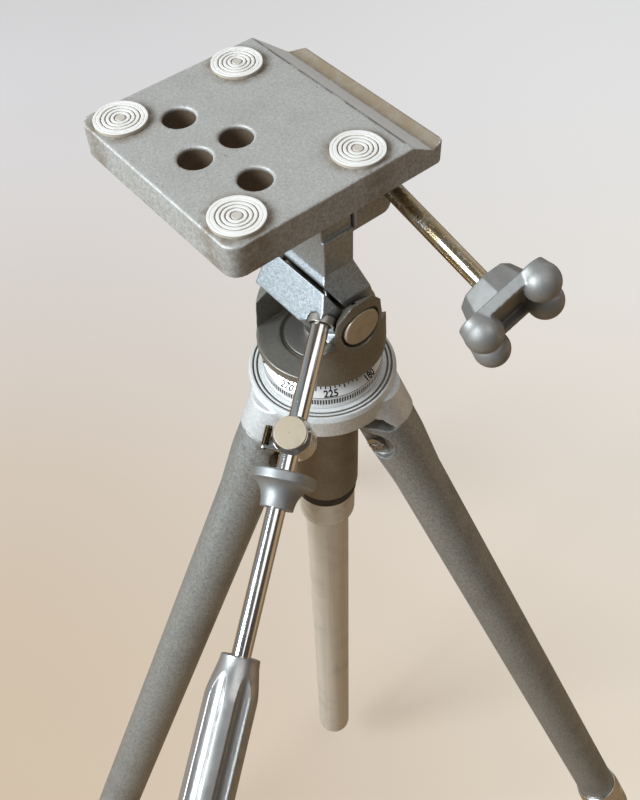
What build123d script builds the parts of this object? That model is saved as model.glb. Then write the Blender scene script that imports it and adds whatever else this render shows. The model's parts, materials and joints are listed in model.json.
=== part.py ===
from build123d import *
import os
from math import acos, atan2, cos, hypot, radians, sin, tan

# Camera tripod with a pan and tilt head, in millimetres and degrees.
# The origin is on the floor under the pan axis. +X is the tilt axis towards the operator's right,
# +Y is forward, away from the operator, and +Z is up.

# Fits
RUNNING_FIT = 0.05  # radial play of a shaft that turns or slides in its bore
CLEARANCE = 0.4  # space beside a piece that passes another
END_PLAY = 0.3  # space between faces that turn against each other
BREAK = 0.6  # broken edges

# Leg hinge, on a leg's own upright plane
LEG_COUNT = 3
FIRST_LEG_AZIMUTH = 27
LEG_SPREAD = 26.1  # lean of an open leg
FOLD_GAP = 6.2  # between a folded leg and the column sleeve
HINGE_DROP = 32.1  # hinge bolt below the shoulder's rim
HINGE_INSET = 3.5  # hinge bolt inward from the leg's axis
HINGE_BOLT_RADIUS = 2.5
BOLT_HEAD_RADIUS = 4.2
BOLT_HEAD_HEIGHT = 2.5
BOLT_SLOT_WIDTH = 1.2
BOLT_SLOT_DEPTH = 1.0
NUT_SIDES = 6
NUT_ACROSS_FLATS = 8
TONGUE_WIDTH = 9
TONGUE_RADIUS = 8
CHEEK_THICKNESS = 5.6  # each cheek of the leg's fork
CHEEK_RADIUS = 13.5
SPOT_RADIUS = 9.5  # flat round the bolt on a cheek
STOP_RISE = 8.5  # stop face above the hinge bolt

# Leg pieces, in order down the leg
LEG_TUBE_RADIUS = 12.8
LEG_TUBE_WALL = 1.2
LEG_TUBE_LENGTH = 364
LEG_HEAD_LENGTH = 36  # leg head below the hinge bolt
LEG_HEAD_SWELL = 1.6
LEG_HEAD_STRAIGHT = 8  # swollen part below the hinge bolt
LEG_SPIGOT_LENGTH = 30
LEG_COLLAR_GRIP = 6  # collar over the end of the upper tube
LEG_COLLAR_REACH = 28  # collar beyond the end of the upper tube
LEG_COLLAR_WALL = 2.2
LEG_COLLAR_FLARE = 8
LEG_COLLAR_LIP = 6
LEG_BUSH_GRIP = 20  # bush inside the upper tube
LOWER_TUBE_RADIUS = 10.4
LOWER_TUBE_WALL = 1.0
LOWER_INSERT = 200  # lower tube inside the upper one
LOWER_SHOWN = 86  # lower tube between the collar and the foot
LEG_GUIDE_LENGTH = 15
FOOT_RADIUS = 12.5
FOOT_SLEEVE = 17  # from the foot's top to the centre of its ball
FOOT_SOCKET = 7  # lower tube inside the foot

# Shoulder casting
RING_RADIUS = 35.6
RING_RISE = 2.3  # ring's top above its rim
RING_BEVEL = 1.0
RING_DEPTH = 11  # ring's side below its rim
GROOVE_COUNT = 2
GROOVE_PITCH = 1.7
GROOVE_WIDTH = 0.8
GROOVE_DEPTH = 0.8
HUB_DEPTH = 20
HUB_WALL = 2.8
HOOD_RADIUS = 15.2
HOOD_WIDTH = 27
HOOD_LIP = 3.9
HOOD_DROP = 1.0  # hood's top below the rim

# Column
COLUMN_RADIUS = 12.5
COLUMN_WALL = 2.0
COLUMN_FLOOR_GAP = 44
END_CAP_THICKNESS = 4
END_CAP_ROUND = 2
END_CAP_PLUG = 12
SLEEVE_WALL = 5.15
SLEEVE_LENGTH = 90
SLEEVE_SEAT = 15  # sleeve inside the hub
NECK_WALL = 1.65  # threaded neck under the guard ring and the lock collar
NECK_LENGTH = 20
GUARD_WALL = 2.6
GUARD_LENGTH = 8
LOCK_WALL = 1.8
LOCK_LENGTH = 22
LOCK_LIP = 4

# Pan dial and yoke, stacked upward from the shoulder
DIAL_RADIUS = 28.8
DIAL_TOP_RADIUS = 22
BAND_HEIGHT = 6.8
BEVEL_HEIGHT = 6.6
SPIGOT_LENGTH = 27
PAN_BOLT_RADIUS = 5
PAN_HEAD_RADIUS = 8
PAN_HEAD_HEIGHT = 4
PAN_WASHER_RADIUS = 17
PAN_WASHER_THICKNESS = 1.0
BOSS_RADIUS = 20.5
BOSS_HEIGHT = 3.7
FLOOR_THICKNESS = 4.5
RECESS_MARGIN = 1.9  # recess round the pan washer
RECESS_DEPTH = 1.5
YOKE_RADIUS = 30.1
EAR_TOP_RADIUS = 28.4
EAR_RISE = 19  # above the tilt axis
EAR_SLOPES = 9  # flat slopes inside an ear round the tilt axis
EAR_SLOPE_PLACE = 8.5  # start of a slope, out from the tilt axis
EAR_SLOPE_END = 26  # below the tilt axis
TILT_RISE = 25.5  # tilt axis above the yoke's floor
TILT_SHAFT_RADIUS = 6
TILT_HEAD_RADIUS = 9.2
TILT_HEAD_HEIGHT = 3.0
TILT_HEAD_MARGIN = 1.2
TILT_SEAT = 4.7  # seat of the shaft's head, out from the ear's inner face
SHAFT_INSET = 1.0
SET_SCREW_RADIUS = 1.5
SET_SCREW_LENGTH = 3.9
SET_SCREW_PLACE = 2.6  # from the ear's inner face

# Tilt block, measured from the tilt axis
BLOCK_WIDTH = 41
BARREL_RADIUS = 15
BLOCK_FRONT = 20  # lower edge of the sloped face, towards the operator
BLOCK_FRONT_RISE = 3.8
SHOULDER_RISE = 12
NECK_RISE = 24
NECK_TOP_RISE = 42
NECK_WIDTH = 26.8
NECK_DEPTH = 16
CROWN_RADIUS = 12
SLIT_WIDTH = 2.0
SLIT_SLOPE = 62

# Side tilt, measured from its own axis
SIDE_RISE = 45  # side-tilt axis above the tilt axis
SIDE_SHAFT_RADIUS = 6
SIDE_SHAFT_SEAT = 13  # shaft inside the neck
SIDE_WASHER_RADIUS = 11
SIDE_WASHER_THICKNESS = 0.6
SIDE_SCREW_RADIUS = 2.5
SIDE_SCREW_LENGTH = 12
SIDE_SCREW_HEAD_RADIUS = 8
SIDE_SCREW_HEAD_HEIGHT = 2.5
LUG_RADIUS = 13.5
LUG_LENGTH = 21
LUG_ROUND = 3

# Camera plate
PLATE_PASS_GAP = 1.0  # between the plate turned on its side and the yoke
PLATE_THICKNESS = 14
PLATE_LEFT = 59.2
PLATE_RIGHT = 36.3
PLATE_BACK = 65.8  # towards the operator
PLATE_FRONT = 32
PLATE_CUT = 16  # corner cut off at the front left
PLATE_BACK_CORNER = 6
PLATE_FRONT_CORNER = 2.5
SLOPE_RUN = 10.3  # from the flat top down to the valley
SLOPE_FALL = 6
RIDGE_RUN = 4.7  # from the valley up to the ridge
RIDGE_RISE = 2.3
RIDGE_WIDTH = 1.0
PAD_RADIUS = 10.25
PAD_BASE = 0.9
PAD_SPAN_X = 71.8
PAD_SPAN_Y = 53.9
PAD_CENTRE_Y = -27
PAD_DISC_RADIUS = 1.85
PAD_RINGS = 3  # between the centre disc and the outer band
PAD_RING_WIDTH = 1.1
PAD_GROOVE_WIDTH = 0.62
PAD_RIB_HEIGHT = 0.7
HOLE_RADIUS = 6.5
HOLE_SPAN_X = 46.6
HOLE_SPAN_Y = 18.5
HOLE_CENTRE_Y = -36.6

# Side lock, measured along its rod from the lug's slit
LOCK_ROD_AZIMUTH = -0.5
LOCK_ROD_DIP = 13.4
LOCK_ROD_RADIUS = 4
LOCK_ROD_SETBACK = 15.4  # rod forward of the lug's face
LOCK_ROD_RISE = 14.6  # rod above the side-tilt axis
LOCK_ROD_BITE = 9.5  # thread beyond the slit
LOCK_SEAT_DEPTH = 1.4
LOCK_FLANGE_RADIUS = 6.5
LOCK_FLANGE_THICKNESS = 3
JAW_WALL = 3.4
KNOB_START = 73.4
KNOB_ROD_SEAT = 9  # rod inside the knob
KNOB_ROLL = 29.5
KNOB_HUB_SIDES = 8
KNOB_HUB_LENGTH = 10.4
KNOB_HUB_NEAR = 23
KNOB_HUB_FAR = 30
KNOB_SPAN = 27.6  # between the lobes' axes
KNOB_WEB_MARGIN = 5.5
KNOB_WEB_DEPTH = 4.8
KNOB_WALL = 3.2
KNOB_POCKET_DEPTH = 4
KNOB_CORNER = 9
LOBE_ROOT_RADIUS = 6.2
LOBE_RADIUS = 7.6
LOBE_PLACE = 17  # centre of a lobe's round end

# Handle, measured along its rod from the corner of the tilt block
HANDLE_AZIMUTH = -54.9
HANDLE_DIP = 25
HANDLE_ENTRY_INSET = 2.5  # from the block's right side
HANDLE_ENTRY_BACK = 14.5  # from the tilt axis towards the operator
HANDLE_ENTRY_RISE = 4.1
HANDLE_FACET_RADIUS = 12
HANDLE_ROD_RADIUS = 4
HANDLE_ROD_LENGTH = 215
HANDLE_THREAD_RADIUS = 3
HANDLE_THREAD_LENGTH = 23
BUSH_RADIUS = 6.0
BUSH_MARGIN = 0.3
BUSH_DEPTH = 3
BUSH_SHOWN = 0.6
CLAMP_PLACE = 49.8
CLAMP_RADIUS = 8.4
CLAMP_BELOW = 12
CLAMP_ABOVE = 5.5
CLAMP_CAP_RADIUS = 6.9
CLAMP_CAP_HEIGHT = 3.5
CLAMP_SCREW_RADIUS = 2.5
NIPPLE_OFFSET = 11
NIPPLE_RADIUS = 1.8
NIPPLE_BORE = 0.8
NIPPLE_ABOVE = 7.3  # nipple above its eye
NIPPLE_LENGTH = 10
EYE_RADIUS = 3.0
EYE_LENGTH = 2
EYE_PLACE = 4.8  # from the clamp's centre
TRIGGER_PLACE = 65.4
TRIGGER_LENGTH = 14.8
TRIGGER_RIM_RADIUS = 13.6
TRIGGER_RIM_LENGTH = 4.5
TRIGGER_NECK_RADIUS = 7
TRIGGER_SCREW_RADIUS = 1.0
TRIGGER_SCREW_INSET = 0.5
TRIGGER_SCREW_TURN = 62
GRIP_PLACE = 140
GRIP_LENGTH = 115
GRIP_TOP_RADIUS = 8
GRIP_SHOULDER_PLACE = 17
GRIP_RADIUS = 11
GRIP_END_ROUND = 4
FLUTE_COUNT = 6
FLUTE_TURN = -8.5
FLUTE_RADIUS = 4
FLUTE_DEPTH = 2
FLUTE_END = 10  # plain part below the flutes

# Lean of the legs
lean_sin = sin(radians(LEG_SPREAD))
lean_cos = cos(radians(LEG_SPREAD))

# Radii that follow from the column outward
column_pass = COLUMN_RADIUS + CLEARANCE
sleeve_bore = COLUMN_RADIUS + RUNNING_FIT
sleeve_radius = sleeve_bore + SLEEVE_WALL
neck_radius = sleeve_bore + NECK_WALL
hub_radius = sleeve_radius + HUB_WALL
spigot_radius = COLUMN_RADIUS - COLUMN_WALL
hinge_radius = sleeve_radius + FOLD_GAP + LEG_TUBE_RADIUS - HINGE_INSET

# Places down a leg, from the plane of the rim
hinge_along = (HINGE_DROP - HINGE_INSET * lean_sin) / lean_cos
root_radius = hinge_radius - hinge_along * lean_sin + HINGE_INSET * lean_cos
hinge_place = (-HINGE_INSET, hinge_along)
hood_end = hinge_along - STOP_RISE
stop_face = hood_end + END_PLAY
head_end = hinge_along + LEG_HEAD_LENGTH
head_radius = LEG_TUBE_RADIUS + LEG_HEAD_SWELL
tongue_edge = TONGUE_RADIUS - HINGE_INSET
slot_radius = TONGUE_RADIUS + CLEARANCE
fork_inner = TONGUE_WIDTH / 2 + CLEARANCE
fork_outer = fork_inner + CHEEK_THICKNESS
tube_bore = LEG_TUBE_RADIUS - LEG_TUBE_WALL
tube_end = head_end + LEG_TUBE_LENGTH
collar_start = tube_end - LEG_COLLAR_GRIP
collar_end = tube_end + LEG_COLLAR_REACH
collar_bore = LEG_TUBE_RADIUS + RUNNING_FIT
collar_radius = collar_bore + LEG_COLLAR_WALL
collar_lip = collar_end - LEG_COLLAR_LIP
lower_bore = LOWER_TUBE_RADIUS + RUNNING_FIT
lower_top = tube_end - LOWER_INSERT
foot_top = collar_end + LOWER_SHOWN
lower_end = foot_top + FOOT_SOCKET
foot_centre = foot_top + FOOT_SLEEVE

# Heights above the rim, which stands on the open legs
rim_height = FOOT_RADIUS + foot_centre * lean_cos
dial_bottom = RING_RISE + END_PLAY
band_top = dial_bottom + BAND_HEIGHT
dial_top = band_top + BEVEL_HEIGHT
spigot_bottom = dial_bottom - SPIGOT_LENGTH
boss_bottom = dial_top + END_PLAY
floor_bottom = boss_bottom + BOSS_HEIGHT
floor_top = floor_bottom + FLOOR_THICKNESS
recess_floor = floor_top - RECESS_DEPTH
washer_bottom = recess_floor + END_PLAY
washer_top = washer_bottom + PAN_WASHER_THICKNESS
tilt_height = floor_top + TILT_RISE
ear_top = tilt_height + EAR_RISE
ear_foot = tilt_height - YOKE_RADIUS * tan(radians(EAR_SLOPE_END))
side_height = tilt_height + SIDE_RISE
plate_rise = YOKE_RADIUS + PLATE_PASS_GAP
plate_bottom = side_height + plate_rise
plate_top = plate_bottom + PLATE_THICKNESS
sleeve_top = SLEEVE_SEAT - HUB_DEPTH
sleeve_bottom = sleeve_top - SLEEVE_LENGTH
neck_bottom = sleeve_bottom - NECK_LENGTH
guard_bottom = sleeve_bottom - GUARD_LENGTH
lock_top = guard_bottom - END_PLAY
lock_bottom = lock_top - LOCK_LENGTH
lip_top = lock_bottom + LOCK_LIP
column_bottom = COLUMN_FLOOR_GAP - rim_height

# Widths and depths of the yoke, the tilt block and the plate
block_half = BLOCK_WIDTH / 2
ear_inner = block_half + END_PLAY
recess_radius = PAN_WASHER_RADIUS + RECESS_MARGIN
tilt_seat = ear_inner + TILT_SEAT
ear_at_tilt = YOKE_RADIUS - (YOKE_RADIUS - EAR_TOP_RADIUS) * TILT_RISE / (ear_top - floor_top)
set_screw_x = ear_inner + SET_SCREW_PLACE
neck_half = NECK_WIDTH / 2
neck_front = NECK_DEPTH / 2
shaft_seat = neck_front - SIDE_SHAFT_SEAT
lug_start = neck_front + SIDE_WASHER_THICKNESS + END_PLAY
lug_end = lug_start + LUG_LENGTH
shaft_end = lug_end + END_PLAY
slit_top = LOCK_ROD_RISE + LOCK_ROD_RADIUS + JAW_WALL
plate_centre = (PLATE_RIGHT - PLATE_LEFT) / 2
ridge = PLATE_FRONT - RIDGE_WIDTH
valley = ridge - RIDGE_RUN
valley_height = plate_top - SLOPE_FALL
ridge_height = valley_height + RIDGE_RISE


def direction(azimuth, dip):
    """Unit vector at an azimuth, dipping below the horizontal."""
    return Vector(cos(radians(dip)), 0, -sin(radians(dip))).rotate(Axis.Z, azimuth)


def level(height):
    """Level plane at a height above the rim."""
    return Plane.XY.offset(rim_height + height)


def ahead(forward):
    """Upright plane across the head, facing forward, with local y as the height above the rim."""
    return Plane(origin=(0, forward, rim_height), x_dir=(-1, 0, 0), z_dir=(0, 1, 0))


def aside(right):
    """Upright plane along the head, facing right: local x is forward, local y the height above the rim."""
    return Plane(origin=(right, 0, rim_height), x_dir=(0, 1, 0), z_dir=(1, 0, 0))


def leg_side(azimuth):
    """Upright plane of a leg: local x runs outward from its axis and local y runs down it."""
    root = Vector(root_radius, 0, rim_height).rotate(Axis.Z, azimuth)
    outward = Vector(lean_cos, 0, lean_sin).rotate(Axis.Z, azimuth)
    across = Vector(0, 1, 0).rotate(Axis.Z, azimuth)
    return Plane(origin=root, x_dir=outward, z_dir=across)


def rod_side(start, along):
    """Plane through a rod's axis: local x runs to its left and local y runs along it."""
    left = along.cross(Vector(0, 0, 1)).normalized()
    return Plane(origin=start, x_dir=left, z_dir=left.cross(along))


def square_to(side):
    """Plane square to the axis that is a side plane's local y, at its origin."""
    return Plane(origin=side.origin, x_dir=side.x_dir, z_dir=side.y_dir)


def axis_of(side):
    """Axis along a side plane's local y."""
    return Axis(side.origin, side.y_dir)


def on_leg(radius, height):
    """Outward and down-leg coordinates of a point given by its radius and its height above the rim."""
    reach = radius - root_radius
    return (reach * lean_cos + height * lean_sin, reach * lean_sin - height * lean_cos)


def keep(piece, name):
    """Label a finished piece and write it."""
    piece.part.label = name
    export_step(piece.part, f"parts/{name}.step")


os.makedirs("parts", exist_ok=True)
ACROSS = ahead(0)
ALONG = aside(0)
leg_azimuths = [FIRST_LEG_AZIMUTH + number * 360 / LEG_COUNT for number in range(LEG_COUNT)]

# Hood of the shoulder over the top of the leg at azimuth 0, with the tongue that the leg's fork straddles
hood_side = leg_side(0)
hub_point = on_leg(sleeve_radius + HUB_WALL / 2, -HOOD_DROP)
hub_foot = on_leg(sleeve_radius + HUB_WALL / 2, -RING_DEPTH)
hub_toe = on_leg(sleeve_radius + HUB_WALL / 2, -HUB_DEPTH)
ring_foot = on_leg(RING_RADIUS, -RING_DEPTH)
hood_crest = (HOOD_RADIUS, (HOOD_RADIUS * lean_sin + HOOD_DROP) / lean_cos)
with BuildPart() as hood:
    with BuildSketch(square_to(hood_side)):
        Circle(HOOD_RADIUS)
        Rectangle(HOOD_RADIUS, HOOD_WIDTH, align=(Align.MIN, Align.CENTER), mode=Mode.INTERSECT)
        Rectangle(hinge_radius, HOOD_WIDTH, align=(Align.MAX, Align.CENTER))
    extrude(amount=hood_end)
    with BuildSketch(square_to(hood_side)):
        Rectangle(2 * hinge_radius, HOOD_WIDTH)
    extrude(amount=-hood_end)
    with BuildSketch(hood_side):
        Polygon(
            hub_point,
            hood_crest,
            (HOOD_RADIUS, hood_end),
            (HOOD_RADIUS - HOOD_LIP, hood_end),
            ring_foot,
            hub_foot,
            align=None,
        )
    extrude(amount=HOOD_WIDTH / 2, both=True, mode=Mode.INTERSECT)
    with BuildSketch(hood_side):
        with Locations(hinge_place):
            Circle(TONGUE_RADIUS)
        Polygon(
            (tongue_edge, hinge_along),
            (tongue_edge, (RING_DEPTH + tongue_edge * lean_sin) / lean_cos),
            hub_foot,
            hub_toe,
            (-HINGE_INSET - TONGUE_RADIUS, hinge_along),
            align=None,
        )
    extrude(amount=TONGUE_WIDTH / 2, both=True)
    with BuildSketch(hood_side):
        with Locations(hinge_place):
            Circle(HINGE_BOLT_RADIUS)
    extrude(amount=TONGUE_WIDTH, both=True, mode=Mode.SUBTRACT)

# Shoulder: grooved ring, hub for the column sleeve and three hoods, cast in one
with BuildPart() as shoulder:
    with BuildSketch(ACROSS):
        Polygon(
            (column_pass, RING_RISE),
            (RING_RADIUS - RING_BEVEL, RING_RISE),
            (RING_RADIUS, 0),
            (RING_RADIUS, -RING_DEPTH),
            (hub_radius, -RING_DEPTH),
            (hub_radius, -HUB_DEPTH),
            (sleeve_radius, -HUB_DEPTH),
            (sleeve_radius, sleeve_top),
            (column_pass, sleeve_top),
            align=None,
        )
    revolve(axis=Axis.Z)
    with PolarLocations(0, LEG_COUNT, FIRST_LEG_AZIMUTH):
        add(hood.part)
    with BuildSketch(ACROSS):
        for groove in range(1, GROOVE_COUNT + 1):
            with Locations((RING_RADIUS - groove * GROOVE_PITCH, RING_RISE)):
                Rectangle(GROOVE_WIDTH, 2 * GROOVE_DEPTH)
    revolve(axis=Axis.Z, mode=Mode.SUBTRACT)
keep(shoulder, "shoulder")

# Hinge bolts and their nuts
with BuildPart() as hinge_bolts:
    for azimuth in leg_azimuths:
        seat = leg_side(azimuth).offset(-fork_outer - END_PLAY)
        with BuildSketch(seat):
            with Locations(hinge_place):
                Circle(BOLT_HEAD_RADIUS)
        extrude(amount=-BOLT_HEAD_HEIGHT)
        with BuildSketch(seat):
            with Locations(hinge_place):
                Circle(HINGE_BOLT_RADIUS)
        extrude(amount=2 * (fork_outer + END_PLAY) + BOLT_HEAD_HEIGHT)
        with BuildSketch(seat.offset(-BOLT_HEAD_HEIGHT)):
            with Locations(hinge_place):
                Rectangle(2 * BOLT_HEAD_RADIUS, BOLT_SLOT_WIDTH)
        extrude(amount=BOLT_SLOT_DEPTH, mode=Mode.SUBTRACT)
keep(hinge_bolts, "hinge_bolts")

with BuildPart() as hinge_nuts:
    for azimuth in leg_azimuths:
        with BuildSketch(leg_side(azimuth).offset(fork_outer + END_PLAY)):
            with Locations(hinge_place):
                RegularPolygon(NUT_ACROSS_FLATS / 2, NUT_SIDES, major_radius=False)
                Circle(HINGE_BOLT_RADIUS, mode=Mode.SUBTRACT)
        extrude(amount=BOLT_HEAD_HEIGHT)
keep(hinge_nuts, "hinge_nuts")

# Legs: a cast head with a fork, two tubes, a lock collar with its bush, a guide and a foot each
for number, azimuth in enumerate(leg_azimuths, start=1):
    side = leg_side(azimuth)
    square = square_to(side)

    with BuildPart() as leg_head:
        with BuildSketch(side):
            Polygon(
                (0, hinge_along - CHEEK_RADIUS),
                (head_radius, hinge_along - CHEEK_RADIUS),
                (head_radius, hinge_along + LEG_HEAD_STRAIGHT),
                (LEG_TUBE_RADIUS, head_end),
                (tube_bore, head_end),
                (tube_bore, head_end + LEG_SPIGOT_LENGTH),
                (0, head_end + LEG_SPIGOT_LENGTH),
                align=None,
            )
        revolve(axis=axis_of(side))
        with BuildSketch(side):
            with Locations(hinge_place):
                Circle(CHEEK_RADIUS)
            Polygon(
                (-HINGE_INSET, stop_face),
                (head_radius, stop_face),
                (head_radius, head_end + LEG_SPIGOT_LENGTH),
                (-LEG_TUBE_RADIUS, head_end + LEG_SPIGOT_LENGTH),
                (-LEG_TUBE_RADIUS, hinge_along),
                (-HINGE_INSET, hinge_along),
                align=None,
            )
            with Locations((-LEG_TUBE_RADIUS, 0)):
                Rectangle(head_radius, 2 * head_end, align=(Align.MAX, Align.CENTER), mode=Mode.SUBTRACT)
        extrude(amount=head_radius, both=True, mode=Mode.INTERSECT)
        with BuildSketch(side):
            with Locations(hinge_place):
                Circle(slot_radius)
                Rectangle(2 * head_radius, 2 * slot_radius, align=(Align.MAX, Align.CENTER))
            with Locations((slot_radius - HINGE_INSET, hinge_along)):
                Rectangle(2 * head_radius, CHEEK_RADIUS, align=(Align.MAX, Align.MAX))
        extrude(amount=fork_inner, both=True, mode=Mode.SUBTRACT)
        for end in (1, -1):
            with BuildSketch(side.offset(end * fork_outer)):
                with Locations(hinge_place):
                    Circle(SPOT_RADIUS)
            extrude(amount=end * head_radius, mode=Mode.SUBTRACT)
        with BuildSketch(side):
            with Locations(hinge_place):
                Circle(HINGE_BOLT_RADIUS + RUNNING_FIT)
        extrude(amount=head_radius, both=True, mode=Mode.SUBTRACT)
    keep(leg_head, f"leg_{number}_head")

    with BuildPart() as leg_tube:
        with BuildSketch(square.offset(head_end)):
            Circle(LEG_TUBE_RADIUS)
            Circle(tube_bore, mode=Mode.SUBTRACT)
        extrude(amount=LEG_TUBE_LENGTH)
    keep(leg_tube, f"leg_{number}_tube")

    with BuildPart() as leg_bush:
        with BuildSketch(side):
            Polygon(
                (lower_bore, tube_end - LEG_BUSH_GRIP),
                (tube_bore, tube_end - LEG_BUSH_GRIP),
                (tube_bore, tube_end),
                (LEG_TUBE_RADIUS, tube_end),
                (LEG_TUBE_RADIUS, collar_lip - END_PLAY),
                (lower_bore, collar_lip - END_PLAY),
                align=None,
            )
        revolve(axis=axis_of(side))
    keep(leg_bush, f"leg_{number}_bush")

    with BuildPart() as leg_collar:
        with BuildSketch(side):
            Polygon(
                (collar_bore, collar_start),
                (collar_bore + LEG_COLLAR_WALL / 2, collar_start),
                (collar_radius, collar_start + LEG_COLLAR_FLARE),
                (collar_radius, collar_end - BREAK),
                (collar_radius - BREAK, collar_end),
                (LOWER_TUBE_RADIUS + CLEARANCE, collar_end),
                (LOWER_TUBE_RADIUS + CLEARANCE, collar_lip),
                (collar_bore, collar_lip),
                align=None,
            )
        revolve(axis=axis_of(side))
    keep(leg_collar, f"leg_{number}_collar")

    with BuildPart() as leg_lower:
        with BuildSketch(square.offset(lower_top)):
            Circle(LOWER_TUBE_RADIUS)
            Circle(LOWER_TUBE_RADIUS - LOWER_TUBE_WALL, mode=Mode.SUBTRACT)
        extrude(amount=lower_end - lower_top)
    keep(leg_lower, f"leg_{number}_lower")

    with BuildPart() as leg_guide:
        with BuildSketch(square.offset(lower_top)):
            Circle(tube_bore - RUNNING_FIT)
            Circle(LOWER_TUBE_RADIUS, mode=Mode.SUBTRACT)
        extrude(amount=LEG_GUIDE_LENGTH)
    keep(leg_guide, f"leg_{number}_guide")

    with BuildPart() as leg_foot:
        with BuildSketch(side):
            with BuildLine():
                Polyline(
                    (0, foot_centre + FOOT_RADIUS),
                    (0, lower_end),
                    (LOWER_TUBE_RADIUS, lower_end),
                    (LOWER_TUBE_RADIUS, foot_top),
                    (FOOT_RADIUS - BREAK, foot_top),
                    (FOOT_RADIUS, foot_top + BREAK),
                    (FOOT_RADIUS, foot_centre),
                )
                CenterArc((0, foot_centre), FOOT_RADIUS, 0, 90)
            make_face()
        revolve(axis=axis_of(side))
    keep(leg_foot, f"leg_{number}_foot")

# Column sleeve, its guard ring, its lock collar and the bush that the collar squeezes
with BuildPart() as column_sleeve:
    with BuildSketch(ACROSS):
        Polygon(
            (sleeve_bore, sleeve_top),
            (sleeve_radius, sleeve_top),
            (sleeve_radius, sleeve_bottom),
            (neck_radius, sleeve_bottom),
            (neck_radius, neck_bottom),
            (sleeve_bore, neck_bottom),
            align=None,
        )
    revolve(axis=Axis.Z)
keep(column_sleeve, "column_sleeve")

with BuildPart() as column_ring:
    with BuildSketch(level(guard_bottom)):
        Circle(neck_radius + GUARD_WALL)
        Circle(neck_radius, mode=Mode.SUBTRACT)
    extrude(amount=GUARD_LENGTH)
keep(column_ring, "column_ring")

with BuildPart() as column_lock_collar:
    with BuildSketch(ACROSS):
        Polygon(
            (neck_radius + RUNNING_FIT, lock_top),
            (neck_radius + LOCK_WALL, lock_top),
            (neck_radius + LOCK_WALL, lock_bottom + BREAK),
            (neck_radius + LOCK_WALL - BREAK, lock_bottom),
            (column_pass, lock_bottom),
            (column_pass, lip_top),
            (neck_radius + RUNNING_FIT, lip_top),
            align=None,
        )
    revolve(axis=Axis.Z)
keep(column_lock_collar, "column_lock_collar")

with BuildPart() as column_bush:
    with BuildSketch(level(lip_top)):
        Circle(neck_radius)
        Circle(sleeve_bore, mode=Mode.SUBTRACT)
    extrude(amount=neck_bottom - END_PLAY - lip_top)
keep(column_bush, "column_bush")

# Centre column with its end cap
with BuildPart() as centre_column:
    with BuildSketch(level(column_bottom + END_CAP_THICKNESS)):
        Circle(COLUMN_RADIUS)
        Circle(spigot_radius, mode=Mode.SUBTRACT)
    extrude(amount=dial_bottom - column_bottom - END_CAP_THICKNESS)
keep(centre_column, "centre_column")

with BuildPart() as column_end_cap:
    with BuildSketch(level(column_bottom)):
        Circle(COLUMN_RADIUS)
    extrude(amount=END_CAP_THICKNESS)
    fillet(column_end_cap.edges().group_by(Axis.Z)[0], radius=END_CAP_ROUND)
    with BuildSketch(level(column_bottom + END_CAP_THICKNESS)):
        Circle(spigot_radius)
    extrude(amount=END_CAP_PLUG)
keep(column_end_cap, "column_end_cap")

# Pan dial on the column, with the bolt and washer that hold the yoke down
with BuildPart() as pan_dial:
    with BuildSketch(ACROSS):
        Polygon(
            (PAN_BOLT_RADIUS, dial_top),
            (DIAL_TOP_RADIUS, dial_top),
            (DIAL_RADIUS, band_top),
            (DIAL_RADIUS, dial_bottom),
            (spigot_radius, dial_bottom),
            (spigot_radius, spigot_bottom),
            (PAN_BOLT_RADIUS, spigot_bottom),
            align=None,
        )
    revolve(axis=Axis.Z)
keep(pan_dial, "pan_dial")

with BuildPart() as pan_washer:
    with BuildSketch(level(washer_bottom)):
        Circle(PAN_WASHER_RADIUS)
        Circle(PAN_BOLT_RADIUS, mode=Mode.SUBTRACT)
    extrude(amount=PAN_WASHER_THICKNESS)
keep(pan_washer, "pan_washer")

with BuildPart() as pan_bolt:
    with BuildSketch(level(washer_top)):
        Circle(PAN_HEAD_RADIUS)
    extrude(amount=PAN_HEAD_HEIGHT)
    chamfer(pan_bolt.edges().group_by(Axis.Z)[-1], BREAK)
    with BuildSketch(level(spigot_bottom)):
        Circle(PAN_BOLT_RADIUS)
    extrude(amount=washer_top - spigot_bottom)
keep(pan_bolt, "pan_bolt")

# Yoke: a floor on a boss and two ears, sloped inside for the handle to swing past
with BuildPart() as ear_form:
    with BuildSketch(aside(ear_inner)):
        with Locations((0, tilt_height)):
            RegularPolygon(EAR_SLOPE_PLACE, EAR_SLOPES, major_radius=False, rotation=90 - 180 / EAR_SLOPES)
    extrude(amount=YOKE_RADIUS - ear_inner, taper=-45)
    mirror(about=Plane.YZ)
    with BuildSketch(ALONG):
        Polygon(
            (0, tilt_height),
            (-YOKE_RADIUS, ear_foot),
            (-YOKE_RADIUS, floor_top),
            (YOKE_RADIUS, floor_top),
            (YOKE_RADIUS, ear_foot),
            align=None,
        )
    extrude(amount=YOKE_RADIUS, both=True)

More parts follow.
